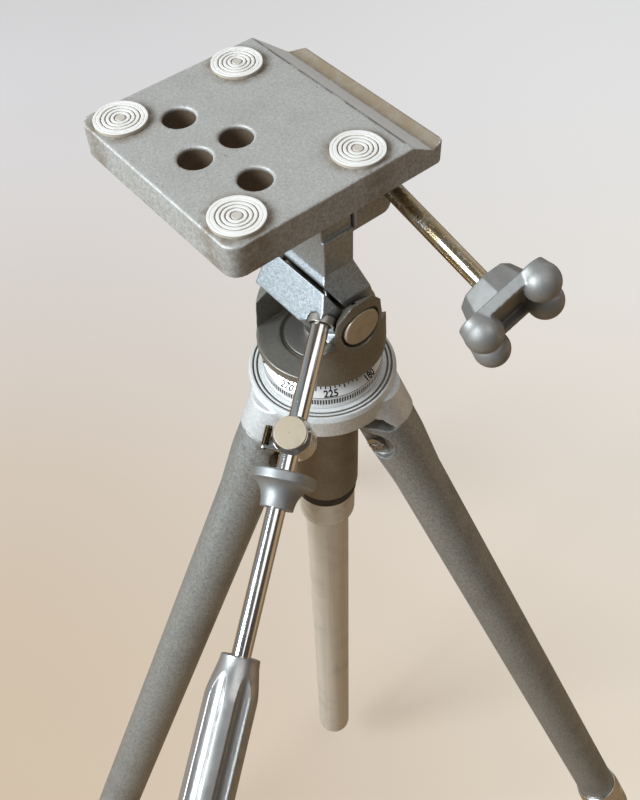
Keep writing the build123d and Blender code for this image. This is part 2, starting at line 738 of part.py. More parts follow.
with BuildPart() as yoke:
    with BuildSketch(ACROSS):
        Polygon(
            (0, floor_top),
            (YOKE_RADIUS, floor_top),
            (EAR_TOP_RADIUS, ear_top),
            (0, ear_top),
            align=None,
        )
    revolve(axis=Axis.Z)
    add(ear_form.part, mode=Mode.INTERSECT)
    with BuildSketch(level(floor_top)):
        Rectangle(2 * ear_inner, 2 * YOKE_RADIUS)
    extrude(amount=ear_top - floor_top, mode=Mode.SUBTRACT)
    with BuildSketch(ACROSS):
        Polygon(
            (PAN_BOLT_RADIUS + RUNNING_FIT, boss_bottom),
            (BOSS_RADIUS, boss_bottom),
            (BOSS_RADIUS, floor_bottom),
            (YOKE_RADIUS, floor_bottom),
            (YOKE_RADIUS, floor_top),
            (recess_radius, floor_top),
            (recess_radius, recess_floor),
            (PAN_BOLT_RADIUS + RUNNING_FIT, recess_floor),
            align=None,
        )
    revolve(axis=Axis.Z)
    with BuildSketch(ALONG):
        with Locations((0, tilt_height)):
            Circle(TILT_SHAFT_RADIUS)
    extrude(amount=YOKE_RADIUS, both=True, mode=Mode.SUBTRACT)
    with BuildSketch(aside(tilt_seat)):
        with Locations((0, tilt_height)):
            Circle(TILT_HEAD_RADIUS + TILT_HEAD_MARGIN)
    extrude(amount=YOKE_RADIUS, mode=Mode.SUBTRACT)
    with BuildSketch(level(tilt_height)):
        with Locations((set_screw_x, 0)):
            Circle(SET_SCREW_RADIUS)
    extrude(amount=EAR_RISE, mode=Mode.SUBTRACT)
keep(yoke, "yoke")

with BuildPart() as tilt_shaft:
    with BuildSketch(aside(SHAFT_INSET - ear_at_tilt)):
        with Locations((0, tilt_height)):
            Circle(TILT_SHAFT_RADIUS)
    extrude(amount=ear_at_tilt - SHAFT_INSET + tilt_seat)
    with BuildSketch(aside(tilt_seat)):
        with Locations((0, tilt_height)):
            Circle(TILT_HEAD_RADIUS)
    extrude(amount=TILT_HEAD_HEIGHT)
    chamfer(tilt_shaft.edges().group_by(Axis.X)[-1], BREAK)
keep(tilt_shaft, "tilt_shaft")

with BuildPart() as yoke_set_screw:
    with BuildSketch(level(tilt_height + TILT_SHAFT_RADIUS)):
        with Locations((set_screw_x, 0)):
            Circle(SET_SCREW_RADIUS)
    extrude(amount=SET_SCREW_LENGTH)
keep(yoke_set_screw, "yoke_set_screw")

# Tilt block: a split barrel on the tilt shaft, a sloped face and a neck for the side-tilt shaft
handle_along = direction(HANDLE_AZIMUTH, HANDLE_DIP)
handle_start = Vector(
    block_half - HANDLE_ENTRY_INSET,
    -HANDLE_ENTRY_BACK,
    rim_height + tilt_height + HANDLE_ENTRY_RISE,
)
handle_side = rod_side(handle_start, handle_along)
handle_square = square_to(handle_side)
handle_axis = axis_of(handle_side)
bush_floor = BUSH_DEPTH + END_PLAY
thread_end = BUSH_DEPTH + HANDLE_THREAD_LENGTH
front_angle = atan2(BLOCK_FRONT_RISE, -BLOCK_FRONT)
tangent_angle = front_angle + acos(BARREL_RADIUS / hypot(BLOCK_FRONT, BLOCK_FRONT_RISE))
underside = (BARREL_RADIUS * cos(tangent_angle), tilt_height + BARREL_RADIUS * sin(tangent_angle))
crown_top = side_height + CROWN_RADIUS
with BuildPart() as tilt_block:
    with BuildSketch(ALONG):
        with Locations((0, tilt_height)):
            Circle(BARREL_RADIUS)
        Polygon(
            (-BLOCK_FRONT, tilt_height + BLOCK_FRONT_RISE),
            (-neck_front, tilt_height + NECK_RISE),
            (-neck_front, crown_top),
            (neck_front, crown_top),
            (neck_front, tilt_height + NECK_RISE),
            (BARREL_RADIUS, tilt_height),
            underside,
            align=None,
        )
    extrude(amount=block_half, both=True)
    with BuildSketch(ACROSS):
        Polygon(
            (-block_half, tilt_height - BARREL_RADIUS),
            (-block_half, tilt_height + SHOULDER_RISE),
            (-neck_half, tilt_height + NECK_RISE),
            (-neck_half, tilt_height + NECK_TOP_RISE),
            (neck_half, tilt_height + NECK_TOP_RISE),
            (neck_half, tilt_height + NECK_RISE),
            (block_half, tilt_height + SHOULDER_RISE),
            (block_half, tilt_height - BARREL_RADIUS),
            align=None,
        )
        with Locations((0, side_height)):
            Circle(CROWN_RADIUS)
    extrude(amount=BLOCK_FRONT + BARREL_RADIUS, both=True, mode=Mode.INTERSECT)
    with BuildSketch(handle_square):
        Circle(HANDLE_FACET_RADIUS)
    extrude(amount=BLOCK_WIDTH, mode=Mode.SUBTRACT)
    with BuildSketch(handle_square.offset(-bush_floor)):
        Circle(BUSH_RADIUS + BUSH_MARGIN)
    extrude(amount=bush_floor, mode=Mode.SUBTRACT)
    with BuildSketch(handle_square.offset(-thread_end - CLEARANCE)):
        Circle(HANDLE_THREAD_RADIUS + RUNNING_FIT)
    extrude(amount=thread_end, mode=Mode.SUBTRACT)
    with BuildSketch(ALONG):
        with Locations((0, tilt_height)):
            Circle(TILT_SHAFT_RADIUS + RUNNING_FIT)
        with Locations(Location((0, tilt_height), 180 - SLIT_SLOPE)):
            Rectangle(BLOCK_WIDTH, SLIT_WIDTH, align=(Align.MIN, Align.CENTER))
    extrude(amount=block_half, both=True, mode=Mode.SUBTRACT)
    with BuildSketch(ahead(shaft_seat)):
        with Locations((0, side_height)):
            Circle(SIDE_SHAFT_RADIUS)
    extrude(amount=SIDE_SHAFT_SEAT, mode=Mode.SUBTRACT)
keep(tilt_block, "tilt_block")

# Side-tilt shaft in the neck, with its washer and its retaining screw
with BuildPart() as side_tilt_shaft:
    with BuildSketch(ahead(shaft_seat)):
        with Locations((0, side_height)):
            Circle(SIDE_SHAFT_RADIUS)
    extrude(amount=shaft_end - shaft_seat)
    with BuildSketch(ahead(shaft_end - SIDE_SCREW_LENGTH)):
        with Locations((0, side_height)):
            Circle(SIDE_SCREW_RADIUS)
    extrude(amount=SIDE_SCREW_LENGTH, mode=Mode.SUBTRACT)
keep(side_tilt_shaft, "side_tilt_shaft")

with BuildPart() as side_tilt_washer:
    with BuildSketch(ahead(neck_front)):
        with Locations((0, side_height)):
            Circle(SIDE_WASHER_RADIUS)
            Circle(SIDE_SHAFT_RADIUS, mode=Mode.SUBTRACT)
    extrude(amount=SIDE_WASHER_THICKNESS)
keep(side_tilt_washer, "side_tilt_washer")

with BuildPart() as side_tilt_screw:
    with BuildSketch(ahead(shaft_end)):
        with Locations((0, side_height)):
            Circle(SIDE_SCREW_HEAD_RADIUS)
    extrude(amount=SIDE_SCREW_HEAD_HEIGHT)
    chamfer(side_tilt_screw.edges().group_by(Axis.Y)[-1], BREAK)
    with BuildSketch(ahead(shaft_end - SIDE_SCREW_LENGTH)):
        with Locations((0, side_height)):
            Circle(SIDE_SCREW_RADIUS)
    extrude(amount=SIDE_SCREW_LENGTH)
keep(side_tilt_screw, "side_tilt_screw")

# Camera plate with its split lug on the side-tilt shaft
lock_along = direction(LOCK_ROD_AZIMUTH, LOCK_ROD_DIP)
lock_start = Vector(0, lug_start + LOCK_ROD_SETBACK, rim_height + side_height + LOCK_ROD_RISE)
lock_side = rod_side(lock_start, lock_along)
lock_square = square_to(lock_side)
lock_seat = LUG_RADIUS / lock_along.X - LOCK_SEAT_DEPTH
flange = lock_seat + END_PLAY
lug_toe = (0, lug_end, rim_height + side_height - LUG_RADIUS)
with BuildPart() as camera_plate:
    with BuildSketch(aside(-PLATE_LEFT)):
        Polygon(
            (-PLATE_BACK, plate_bottom),
            (-PLATE_BACK, plate_top),
            (valley - SLOPE_RUN, plate_top),
            (valley, valley_height),
            (ridge, ridge_height),
            (PLATE_FRONT, ridge_height - RIDGE_WIDTH),
            (PLATE_FRONT, plate_bottom),
            align=None,
        )
    extrude(amount=PLATE_LEFT + PLATE_RIGHT)
    with BuildSketch(level(plate_bottom)) as plate_plan:
        Polygon(
            (-PLATE_LEFT, -PLATE_BACK),
            (PLATE_RIGHT, -PLATE_BACK),
            (PLATE_RIGHT, PLATE_FRONT),
            (PLATE_CUT - PLATE_LEFT, PLATE_FRONT),
            (-PLATE_LEFT, PLATE_FRONT - PLATE_CUT),
            align=None,
        )
        fillet(plate_plan.vertices().group_by(Axis.Y)[0], radius=PLATE_BACK_CORNER)
        fillet(plate_plan.vertices().filter_by_position(Axis.Y, 0, PLATE_FRONT), radius=PLATE_FRONT_CORNER)
    extrude(amount=PLATE_THICKNESS, mode=Mode.INTERSECT)
    with BuildSketch(level(plate_bottom)):
        with GridLocations(HOLE_SPAN_X, 0, 2, 1):
            with Locations((plate_centre, HOLE_CENTRE_Y)):
                Circle(HOLE_RADIUS)
        with GridLocations(0, HOLE_SPAN_Y, 1, 2):
            with Locations((plate_centre, HOLE_CENTRE_Y)):
                Circle(HOLE_RADIUS)
    extrude(amount=PLATE_THICKNESS, mode=Mode.SUBTRACT)
    with BuildSketch(ahead(lug_start)):
        with Locations((0, side_height)):
            Circle(LUG_RADIUS)
            Rectangle(2 * LUG_RADIUS, plate_rise, align=(Align.CENTER, Align.MIN))
    extrude(amount=LUG_LENGTH)
    fillet(camera_plate.edges().filter_by(GeomType.CIRCLE).sort_by_distance(lug_toe)[0], radius=LUG_ROUND)
    with BuildSketch(ahead(lug_start)):
        with Locations((0, side_height)):
            Circle(SIDE_SHAFT_RADIUS + RUNNING_FIT)
            Rectangle(SLIT_WIDTH, slit_top, align=(Align.CENTER, Align.MIN))
        with Locations((SLIT_WIDTH / 2, side_height + slit_top)):
            Rectangle(LUG_RADIUS + SLIT_WIDTH, SLIT_WIDTH, align=(Align.MAX, Align.MIN))
    extrude(amount=LUG_LENGTH, mode=Mode.SUBTRACT)
    with BuildSketch(lock_square.offset(-LOCK_ROD_BITE - CLEARANCE)):
        Circle(LOCK_ROD_RADIUS + RUNNING_FIT)
    extrude(amount=LOCK_ROD_BITE + 2 * LUG_RADIUS, mode=Mode.SUBTRACT)
    with BuildSketch(lock_square.offset(lock_seat)):
        Circle(LOCK_FLANGE_RADIUS + CLEARANCE)
    extrude(amount=LUG_RADIUS, mode=Mode.SUBTRACT)
keep(camera_plate, "camera_plate")

# Four ribbed pads on the plate
pad_places = [
    (plate_centre + across * PAD_SPAN_X / 2, PAD_CENTRE_Y + forward * PAD_SPAN_Y / 2)
    for across in (-1, 1)
    for forward in (-1, 1)
]
with BuildPart() as plate_pads:
    with BuildSketch(level(plate_top)):
        with Locations(*pad_places):
            Circle(PAD_RADIUS)
    extrude(amount=PAD_BASE)
    with BuildSketch(level(plate_top + PAD_BASE)):
        with Locations(*pad_places):
            Circle(PAD_RADIUS)
        for ring in range(PAD_RINGS, -1, -1):
            ring_radius = PAD_DISC_RADIUS + ring * (PAD_GROOVE_WIDTH + PAD_RING_WIDTH)
            with Locations(*pad_places):
                Circle(ring_radius + PAD_GROOVE_WIDTH, mode=Mode.SUBTRACT)
                Circle(ring_radius)
    extrude(amount=PAD_RIB_HEIGHT)
keep(plate_pads, "plate_pads")

# Side lock: a rod with a flange that closes the lug's jaw, and a four-lobed knob
with BuildPart() as side_lock_rod:
    with BuildSketch(lock_side):
        Polygon(
            (0, -LOCK_ROD_BITE),
            (LOCK_ROD_RADIUS, -LOCK_ROD_BITE),
            (LOCK_ROD_RADIUS, flange),
            (LOCK_FLANGE_RADIUS, flange),
            (LOCK_FLANGE_RADIUS, flange + LOCK_FLANGE_THICKNESS),
            (LOCK_ROD_RADIUS, flange + LOCK_FLANGE_THICKNESS),
            (LOCK_ROD_RADIUS, KNOB_START + KNOB_ROD_SEAT),
            (0, KNOB_START + KNOB_ROD_SEAT),
            align=None,
        )
    revolve(axis=axis_of(lock_side))
keep(side_lock_rod, "side_lock_rod")

knob_across = lock_side.x_dir.rotate(axis_of(lock_side), KNOB_ROLL)
knob_base = Plane(origin=lock_start + lock_along * KNOB_START, x_dir=knob_across, z_dir=lock_along)
knob_width = KNOB_SPAN + 2 * KNOB_WEB_MARGIN
knob_face = KNOB_HUB_LENGTH + KNOB_WEB_DEPTH
with BuildPart(knob_base) as side_lock_knob:
    with BuildSketch(knob_base):
        RegularPolygon(KNOB_HUB_NEAR / 2, KNOB_HUB_SIDES, major_radius=False)
    with BuildSketch(knob_base.offset(KNOB_HUB_LENGTH)):
        RegularPolygon(KNOB_HUB_FAR / 2, KNOB_HUB_SIDES, major_radius=False)
    loft()
    with BuildSketch(knob_base.offset(KNOB_HUB_LENGTH)):
        RectangleRounded(knob_width, knob_width, KNOB_CORNER)
    extrude(amount=KNOB_WEB_DEPTH)
    with BuildSketch(knob_base.offset(knob_face - KNOB_POCKET_DEPTH)):
        Rectangle(knob_width - 2 * KNOB_WALL, knob_width - 2 * KNOB_WALL)
    extrude(amount=KNOB_POCKET_DEPTH, mode=Mode.SUBTRACT)
    with Locations((0, 0, LOBE_PLACE)):
        with GridLocations(KNOB_SPAN, KNOB_SPAN, 2, 2):
            Cone(
                LOBE_ROOT_RADIUS,
                LOBE_RADIUS,
                LOBE_PLACE - KNOB_HUB_LENGTH,
                align=(Align.CENTER, Align.CENTER, Align.MAX),
            )
            Sphere(LOBE_RADIUS)
    with BuildSketch(knob_base):
        Circle(LOCK_ROD_RADIUS)
    extrude(amount=KNOB_ROD_SEAT, mode=Mode.SUBTRACT)
keep(side_lock_knob, "side_lock_knob")

# Handle: a rod screwed into the tilt block through a bush, with a fluted grip
with BuildPart() as handle_rod:
    with BuildSketch(handle_side):
        Polygon(
            (0, -thread_end),
            (HANDLE_THREAD_RADIUS, -thread_end),
            (HANDLE_THREAD_RADIUS, -BUSH_DEPTH),
            (HANDLE_ROD_RADIUS, -BUSH_DEPTH),
            (HANDLE_ROD_RADIUS, HANDLE_ROD_LENGTH),
            (0, HANDLE_ROD_LENGTH),
            align=None,
        )
    revolve(axis=handle_axis)
keep(handle_rod, "handle_rod")

with BuildPart() as handle_bush:
    with BuildSketch(handle_square.offset(-BUSH_DEPTH)):
        Circle(BUSH_RADIUS)
        Circle(HANDLE_ROD_RADIUS, mode=Mode.SUBTRACT)
    extrude(amount=BUSH_DEPTH + BUSH_SHOWN)
keep(handle_bush, "handle_bush")

grip_shoulder = GRIP_PLACE + GRIP_SHOULDER_PLACE
grip_end = GRIP_PLACE + GRIP_LENGTH
flute_centre = GRIP_RADIUS - FLUTE_DEPTH + FLUTE_RADIUS
with BuildPart(handle_square) as handle_grip:
    with BuildSketch(handle_side):
        with BuildLine():
            swell = Spline(
                (GRIP_TOP_RADIUS, GRIP_PLACE),
                (GRIP_RADIUS, grip_shoulder),
                tangents=((0, 1), (0, 1)),
            )
            Polyline(
                swell @ 1,
                (GRIP_RADIUS, grip_end),
                (0, grip_end),
                (0, HANDLE_ROD_LENGTH),
                (HANDLE_ROD_RADIUS, HANDLE_ROD_LENGTH),
                (HANDLE_ROD_RADIUS, GRIP_PLACE),
                swell @ 0,
            )
        make_face()
    revolve(axis=handle_axis)
    fillet(handle_grip.faces().sort_by(handle_axis)[-1].edges(), radius=GRIP_END_ROUND)
    with Locations((0, 0, grip_end - FLUTE_END)):
        with PolarLocations(flute_centre, FLUTE_COUNT, start_angle=FLUTE_TURN):
            Cylinder(
                FLUTE_RADIUS,
                GRIP_LENGTH,
                align=(Align.CENTER, Align.CENTER, Align.MAX),
                mode=Mode.SUBTRACT,
            )
            Sphere(FLUTE_RADIUS, mode=Mode.SUBTRACT)
keep(handle_grip, "handle_grip")

# Cable-release holder: a clamp on the rod, its screw and the nipple, with the trigger that slides below it
clamp_centre = handle_start + handle_along * CLAMP_PLACE
clamp_base = Plane(origin=clamp_centre, x_dir=handle_along, z_dir=handle_side.z_dir)
eye_start = CLAMP_PLACE + EYE_PLACE
with BuildPart() as release_clamp:
    with BuildSketch(clamp_base.offset(-CLAMP_BELOW)):
        Circle(CLAMP_RADIUS)
    extrude(amount=CLAMP_BELOW + CLAMP_ABOVE)
    with BuildSketch(handle_square.offset(eye_start)):
        Rectangle(NIPPLE_OFFSET, 2 * EYE_RADIUS, align=(Align.MIN, Align.CENTER))
        with Locations((NIPPLE_OFFSET, 0)):
            Circle(EYE_RADIUS)
            Circle(NIPPLE_RADIUS, mode=Mode.SUBTRACT)
    extrude(amount=EYE_LENGTH)
    with BuildSketch(handle_square.offset(CLAMP_PLACE)):
        Circle(HANDLE_ROD_RADIUS)
    extrude(amount=CLAMP_RADIUS, both=True, mode=Mode.SUBTRACT)
    with BuildSketch(clamp_base):
        Circle(CLAMP_SCREW_RADIUS + RUNNING_FIT)
    extrude(amount=CLAMP_ABOVE, mode=Mode.SUBTRACT)
keep(release_clamp, "release_clamp")

with BuildPart() as release_clamp_screw:
    with BuildSketch(clamp_base.offset(CLAMP_ABOVE + END_PLAY)):
        Circle(CLAMP_CAP_RADIUS)
    cap = extrude(amount=CLAMP_CAP_HEIGHT)
    chamfer(cap.faces().sort_by(Axis(clamp_centre, clamp_base.z_dir))[-1].edges(), BREAK)
    with BuildSketch(clamp_base.offset(HANDLE_ROD_RADIUS + END_PLAY)):
        Circle(CLAMP_SCREW_RADIUS)
    extrude(amount=CLAMP_ABOVE - HANDLE_ROD_RADIUS)
keep(release_clamp_screw, "release_clamp_screw")

with BuildPart() as release_nipple:
    with BuildSketch(handle_square.offset(eye_start - NIPPLE_ABOVE)):
        with Locations((NIPPLE_OFFSET, 0)):
            Circle(NIPPLE_RADIUS)
            Circle(NIPPLE_BORE, mode=Mode.SUBTRACT)
    extrude(amount=NIPPLE_LENGTH)
keep(release_nipple, "release_nipple")

trigger_end = TRIGGER_PLACE + TRIGGER_LENGTH
rim_end = TRIGGER_PLACE + TRIGGER_RIM_LENGTH
screw_middle = TRIGGER_PLACE + TRIGGER_RIM_LENGTH / 2
screw_way = handle_side.x_dir.rotate(handle_axis, TRIGGER_SCREW_TURN)
screw_plane = Plane(origin=handle_start + handle_along * screw_middle, x_dir=handle_along, z_dir=screw_way)
with BuildPart() as release_trigger:
    with BuildSketch(handle_side):
        with BuildLine():
            flare = EllipticalCenterArc(
                (TRIGGER_RIM_RADIUS, trigger_end),
                TRIGGER_RIM_RADIUS - TRIGGER_NECK_RADIUS,
                trigger_end - rim_end,
                start_angle=180,
                arc_size=90,
            )
            Polyline(
                (TRIGGER_RIM_RADIUS, rim_end),
                (TRIGGER_RIM_RADIUS, TRIGGER_PLACE),
                (HANDLE_ROD_RADIUS + RUNNING_FIT, TRIGGER_PLACE),
                (HANDLE_ROD_RADIUS + RUNNING_FIT, trigger_end),
                (TRIGGER_NECK_RADIUS, trigger_end),
            )
        make_face()
    revolve(axis=handle_axis)
    with BuildSketch(screw_plane):
        Circle(TRIGGER_SCREW_RADIUS)
    extrude(amount=TRIGGER_RIM_RADIUS, mode=Mode.SUBTRACT)
keep(release_trigger, "release_trigger")

with BuildPart() as trigger_set_screw:
    with BuildSketch(screw_plane.offset(HANDLE_ROD_RADIUS + END_PLAY)):
        Circle(TRIGGER_SCREW_RADIUS)
    extrude(amount=TRIGGER_RIM_RADIUS - TRIGGER_SCREW_INSET - HANDLE_ROD_RADIUS - END_PLAY)
keep(trigger_set_screw, "trigger_set_screw")
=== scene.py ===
import json
from math import cos, pi, radians, sin

import bmesh
import bpy
import numpy as np
from bpy.props import FloatProperty, FloatVectorProperty, IntProperty, PointerProperty
from mathutils import Matrix, Vector

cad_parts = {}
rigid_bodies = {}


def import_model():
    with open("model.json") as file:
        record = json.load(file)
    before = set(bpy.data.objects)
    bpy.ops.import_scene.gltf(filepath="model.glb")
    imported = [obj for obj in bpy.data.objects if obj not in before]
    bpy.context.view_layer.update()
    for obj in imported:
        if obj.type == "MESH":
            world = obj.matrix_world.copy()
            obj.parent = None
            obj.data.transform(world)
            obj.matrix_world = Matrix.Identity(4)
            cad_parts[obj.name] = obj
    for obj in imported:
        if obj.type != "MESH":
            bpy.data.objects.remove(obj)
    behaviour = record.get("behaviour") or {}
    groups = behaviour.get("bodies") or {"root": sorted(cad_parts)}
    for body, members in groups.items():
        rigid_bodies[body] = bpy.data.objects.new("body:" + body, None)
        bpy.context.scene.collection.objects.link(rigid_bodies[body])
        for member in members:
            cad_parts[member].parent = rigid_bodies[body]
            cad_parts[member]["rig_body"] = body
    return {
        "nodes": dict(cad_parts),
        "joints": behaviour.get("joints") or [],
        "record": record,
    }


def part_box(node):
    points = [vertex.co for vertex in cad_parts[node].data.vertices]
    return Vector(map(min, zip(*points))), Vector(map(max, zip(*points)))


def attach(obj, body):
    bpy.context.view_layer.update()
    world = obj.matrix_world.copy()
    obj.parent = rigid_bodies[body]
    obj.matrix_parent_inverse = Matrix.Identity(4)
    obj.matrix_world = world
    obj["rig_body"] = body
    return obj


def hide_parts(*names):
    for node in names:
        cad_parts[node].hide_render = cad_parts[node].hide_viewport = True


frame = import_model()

bl_info = {
    "name": "Camera Tripod",
    "version": (1, 0, 0),
    "blender": (4, 5, 0),
    "location": "3D View > Sidebar > Tripod",
    "description": "Dresses a camera tripod with a pan and tilt head",
    "category": "Object",
}

MM = 0.001
UP = np.array((0.0, 0.0, 1.0))
LEGS = (1, 2, 3)
NODES = frame["nodes"]
JOINTS = {joint["name"]: joint for joint in frame["joints"]}
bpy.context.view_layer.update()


# Lines that pieces are turned about

def corners(node):
    """Points of a CAD piece's mesh, one row each."""
    mesh = NODES[node].data
    points = np.empty(3 * len(mesh.vertices))
    mesh.vertices.foreach_get("co", points)
    return points.reshape(-1, 3)


def unit(vector):
    """The vector at length 1."""
    vector = np.asarray(vector, float)
    return vector / np.linalg.norm(vector)


class Line:
    """A line through a point, with one way along it and two ways across it."""

    def __init__(self, origin, along, across):
        self.origin = np.asarray(origin, float)
        self.along = unit(along)
        self.across = unit(across - self.along * np.dot(across, self.along))
        self.beside = np.cross(self.along, self.across)

    def at(self, x, y, z):
        """Points x across, y beside and z along, from arrays that broadcast together."""
        x, y, z = (part[..., None] for part in np.broadcast_arrays(x, y, z))
        return self.origin + x * self.across + y * self.beside + z * self.along

    def reach(self, node):
        """A CAD piece's lowest and highest place along the line, and its greatest radius from it."""
        offset = corners(node) - self.origin
        along = offset @ self.along
        radius = np.linalg.norm(offset - np.outer(along, self.along), axis=1)
        return along.min(), along.max(), radius.max()


def joint_line(name, across):
    """Line of a hinge, with a way across it."""
    joint = JOINTS[name]
    return Line(joint["pos_m"], joint["axis"], np.asarray(across, float))


HANDLE_LEFT = np.cross(JOINTS["handle_turn"]["axis"], UP)
PAN = Line((0, 0, 0), UP, np.array((1.0, 0.0, 0.0)))
TILT = joint_line("tilt_turn", UP)
HANDLE = joint_line("handle_turn", HANDLE_LEFT)
CLAMP = joint_line("clamp_screw_turn", JOINTS["handle_turn"]["axis"])
SIDE_LOCK = joint_line("side_lock_turn", UP)
LEG_LINES = {leg: joint_line(f"leg_{leg}_lock_turn", UP) for leg in LEGS}
HINGES = [JOINTS[f"leg_{leg}_fold"]["pos_m"] for leg in LEGS]


# Surfaces as grids of points

EASE_ROOM = 0.36
EASE_SPARE = 0.35
EASE_STEPS = np.concatenate(([-EASE_SPARE], np.linspace(0, 1, 6), [1 + EASE_SPARE]))


def eased(points, radius, closed=False):
    """Outline with eased corners. Each corner C is a parabola between points A and B on its two sides,
    P(s) = (1 - s)^2 A + 2 s (1 - s) C + s^2 B, with one more point before A and after B."""
    points = np.asarray(points, float)
    back = np.roll(points, 1, 0) - points
    fore = np.roll(points, -1, 0) - points
    back_length = np.linalg.norm(back, axis=1, keepdims=True)
    fore_length = np.linalg.norm(fore, axis=1, keepdims=True)
    room = EASE_ROOM * np.minimum(back_length, fore_length)
    size = np.minimum(np.broadcast_to(np.reshape(radius, (-1, 1)), room.shape), room)
    start = (points + back / back_length * size)[:, None]
    end = (points + fore / fore_length * size)[:, None]
    middle = points[:, None]
    s = np.clip(EASE_STEPS, 0, 1)[:, None]
    spare = EASE_STEPS[:, None] - s
    curve = (1 - s) ** 2 * start + 2 * s * (1 - s) * middle + s ** 2 * end
    curve = curve + np.where(spare < 0, (middle - start) * spare, (end - middle) * spare)
    if closed:
        return curve.reshape(-1, 2)
    return np.vstack((points[:1], curve[1:-1].reshape(-1, 2), points[-1:]))


def angles(count):
    """Even steps round a circle, without the last one."""
    return np.linspace(0, 2 * pi, count, endpoint=False)


def turned(line, outline, sides=96):
    """Outline of (radius, place along) carried round a line: (r cos a, r sin a, z)."""
    a = angles(sides)[:, None]
    radius, place = np.asarray(outline, float).T
    return line.at(radius * np.cos(a), radius * np.sin(a), place)


def shell(grid, wrap_rows=True, wrap_columns=False):
    """Points and quads of a grid. A wrapped grid also joins its last row or column to the first."""
    rows, columns = grid.shape[:2]
    number = np.arange(rows * columns).reshape(rows, columns)
    number = np.vstack((number, number[:1])) if wrap_rows else number
    number = np.hstack((number, number[:, :1])) if wrap_columns else number
    quads = np.stack((number[:-1, :-1], number[1:, :-1], number[1:, 1:], number[:-1, 1:]), -1)
    return grid.reshape(-1, 3), quads.reshape(-1, 4)


def joined(*shells):
    """Several shells as one list of points and one of quads."""
    starts = np.cumsum([0] + [len(points) for points, _ in shells])
    return (
        np.vstack([points for points, _ in shells]),
        np.vstack([quads + start for (_, quads), start in zip(shells, starts)]),
    )


def ring(line, outline, radius, sides=96):
    """Turned piece with a hole through it: a closed outline, eased and carried round the line."""
    return shell(turned(line, eased(outline, radius, closed=True), sides), wrap_columns=True)


def solid(line, outline, radius, sides=96):
    """Turned piece without a hole: an outline that starts and ends on the line."""
    return shell(turned(line, eased(outline, radius), sides))


def tube(line, low, high, radius, wall, ease=0.3 * MM):
    """Tube along a line with eased rims."""
    bore = radius - wall
    return ring(line, [(radius, low), (radius, high), (bore, high), (bore, low)], ease)


def prism(line, outline, low, high, ease):
    """Closed outline of (across, beside) carried along the line, with eased rims and closed ends.
    The rims draw in towards the outline's middle by the ease."""
    outline = np.asarray(outline, float)
    middle = outline.mean(0)
    spread = outline - middle
    drawn_in = 1 - ease / np.linalg.norm(spread, axis=1).max()
    share = np.array((0, drawn_in, 1, 1, drawn_in, 0))[:, None, None]
    place = np.array((low, low, low + ease, high - ease, high, high))[:, None]
    flat = middle + share * spread
    return shell(line.at(flat[..., 0], flat[..., 1], place), wrap_rows=False, wrap_columns=True)


# Objects

SEAM = 1e-6
CREASE = radians(42)


def weld(mesh):
    """Close seams and poles, drop what has no area and turn the faces outwards."""
    work = bmesh.new()
    work.from_mesh(mesh)
    bmesh.ops.remove_doubles(work, verts=work.verts, dist=SEAM)
    bmesh.ops.dissolve_degenerate(work, edges=work.edges, dist=SEAM)
    bmesh.ops.recalc_face_normals(work, faces=work.faces)
    work.to_mesh(mesh)
    work.free()


def show(mesh, name, finish, node):
    """Put a mesh in the scene on a CAD piece's body, with the finish given."""
    mesh.shade_smooth()
    mesh.set_sharp_from_angle(angle=CREASE)
    mesh.materials.clear()
    mesh.materials.append(finish)
    piece = bpy.data.objects.new(name, mesh)
    bpy.context.scene.collection.objects.link(piece)
    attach(piece, NODES[node]["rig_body"])
    return piece


def add_on(name, surface, finish, node):
    """Object of a shell that goes with a CAD piece and stands for none."""
    points, quads = surface
    mesh = bpy.data.meshes.new(name)
    mesh.from_pydata(points.tolist(), [], quads.tolist())
    weld(mesh)
    return show(mesh, name, finish, node)


def make(name, surface, finish, node):
    """Object of a shell that stands for a CAD piece."""
    piece = add_on(name, surface, finish, node)
    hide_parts(node)
    return piece


def finished_mesh(node, *modifiers):
    """Copy of a CAD piece's mesh, merged and finished by modifiers given as (type, settings)."""
    mesh = NODES[node].data.copy()
    weld(mesh)
    blank = bpy.data.objects.new("blank", mesh)
    bpy.context.scene.collection.objects.link(blank)
    for kind, settings in modifiers:
        modifier = blank.modifiers.new(kind.title(), kind)
        for key, value in settings.items():
            setattr(modifier, key, value)
    made = bpy.data.meshes.new_from_object(blank.evaluated_get(bpy.context.evaluated_depsgraph_get()))
    bpy.data.objects.remove(blank)
    bpy.data.meshes.remove(mesh)
    return made


def casting(node, name, finish, grain, passes, shape=None):
    """CAD piece with the soft edges of a casting: its skin is rebuilt on a fine grid and relaxed.
    A shape is a function that moves the points."""
    skin = ("REMESH", {"mode": "VOXEL", "voxel_size": grain, "adaptivity": 0.0})
    relax = ("SMOOTH", {"factor": 0.5, "iterations": passes})
    mesh = finished_mesh(node, skin, relax)
    if shape:
        points = np.empty(3 * len(mesh.vertices))
        mesh.vertices.foreach_get("co", points)
        mesh.vertices.foreach_set("co", shape(points.reshape(-1, 3)).ravel())
    piece = show(mesh, name, finish, node)
    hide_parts(node)


def machined(node, name, finish, width):
    """CAD piece with its sharp edges broken."""
    settings = {"width": width, "segments": 3, "limit_method": "ANGLE", "angle_limit": CREASE}
    piece = show(finished_mesh(node, ("BEVEL", settings)), name, finish, node)
    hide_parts(node)


def coat(finish, *nodes):
    """Give CAD pieces, whose shape stays, a finish."""
    for node in nodes:
        NODES[node].data.materials.clear()
        NODES[node].data.materials.append(finish)


# Finishes made of nodes

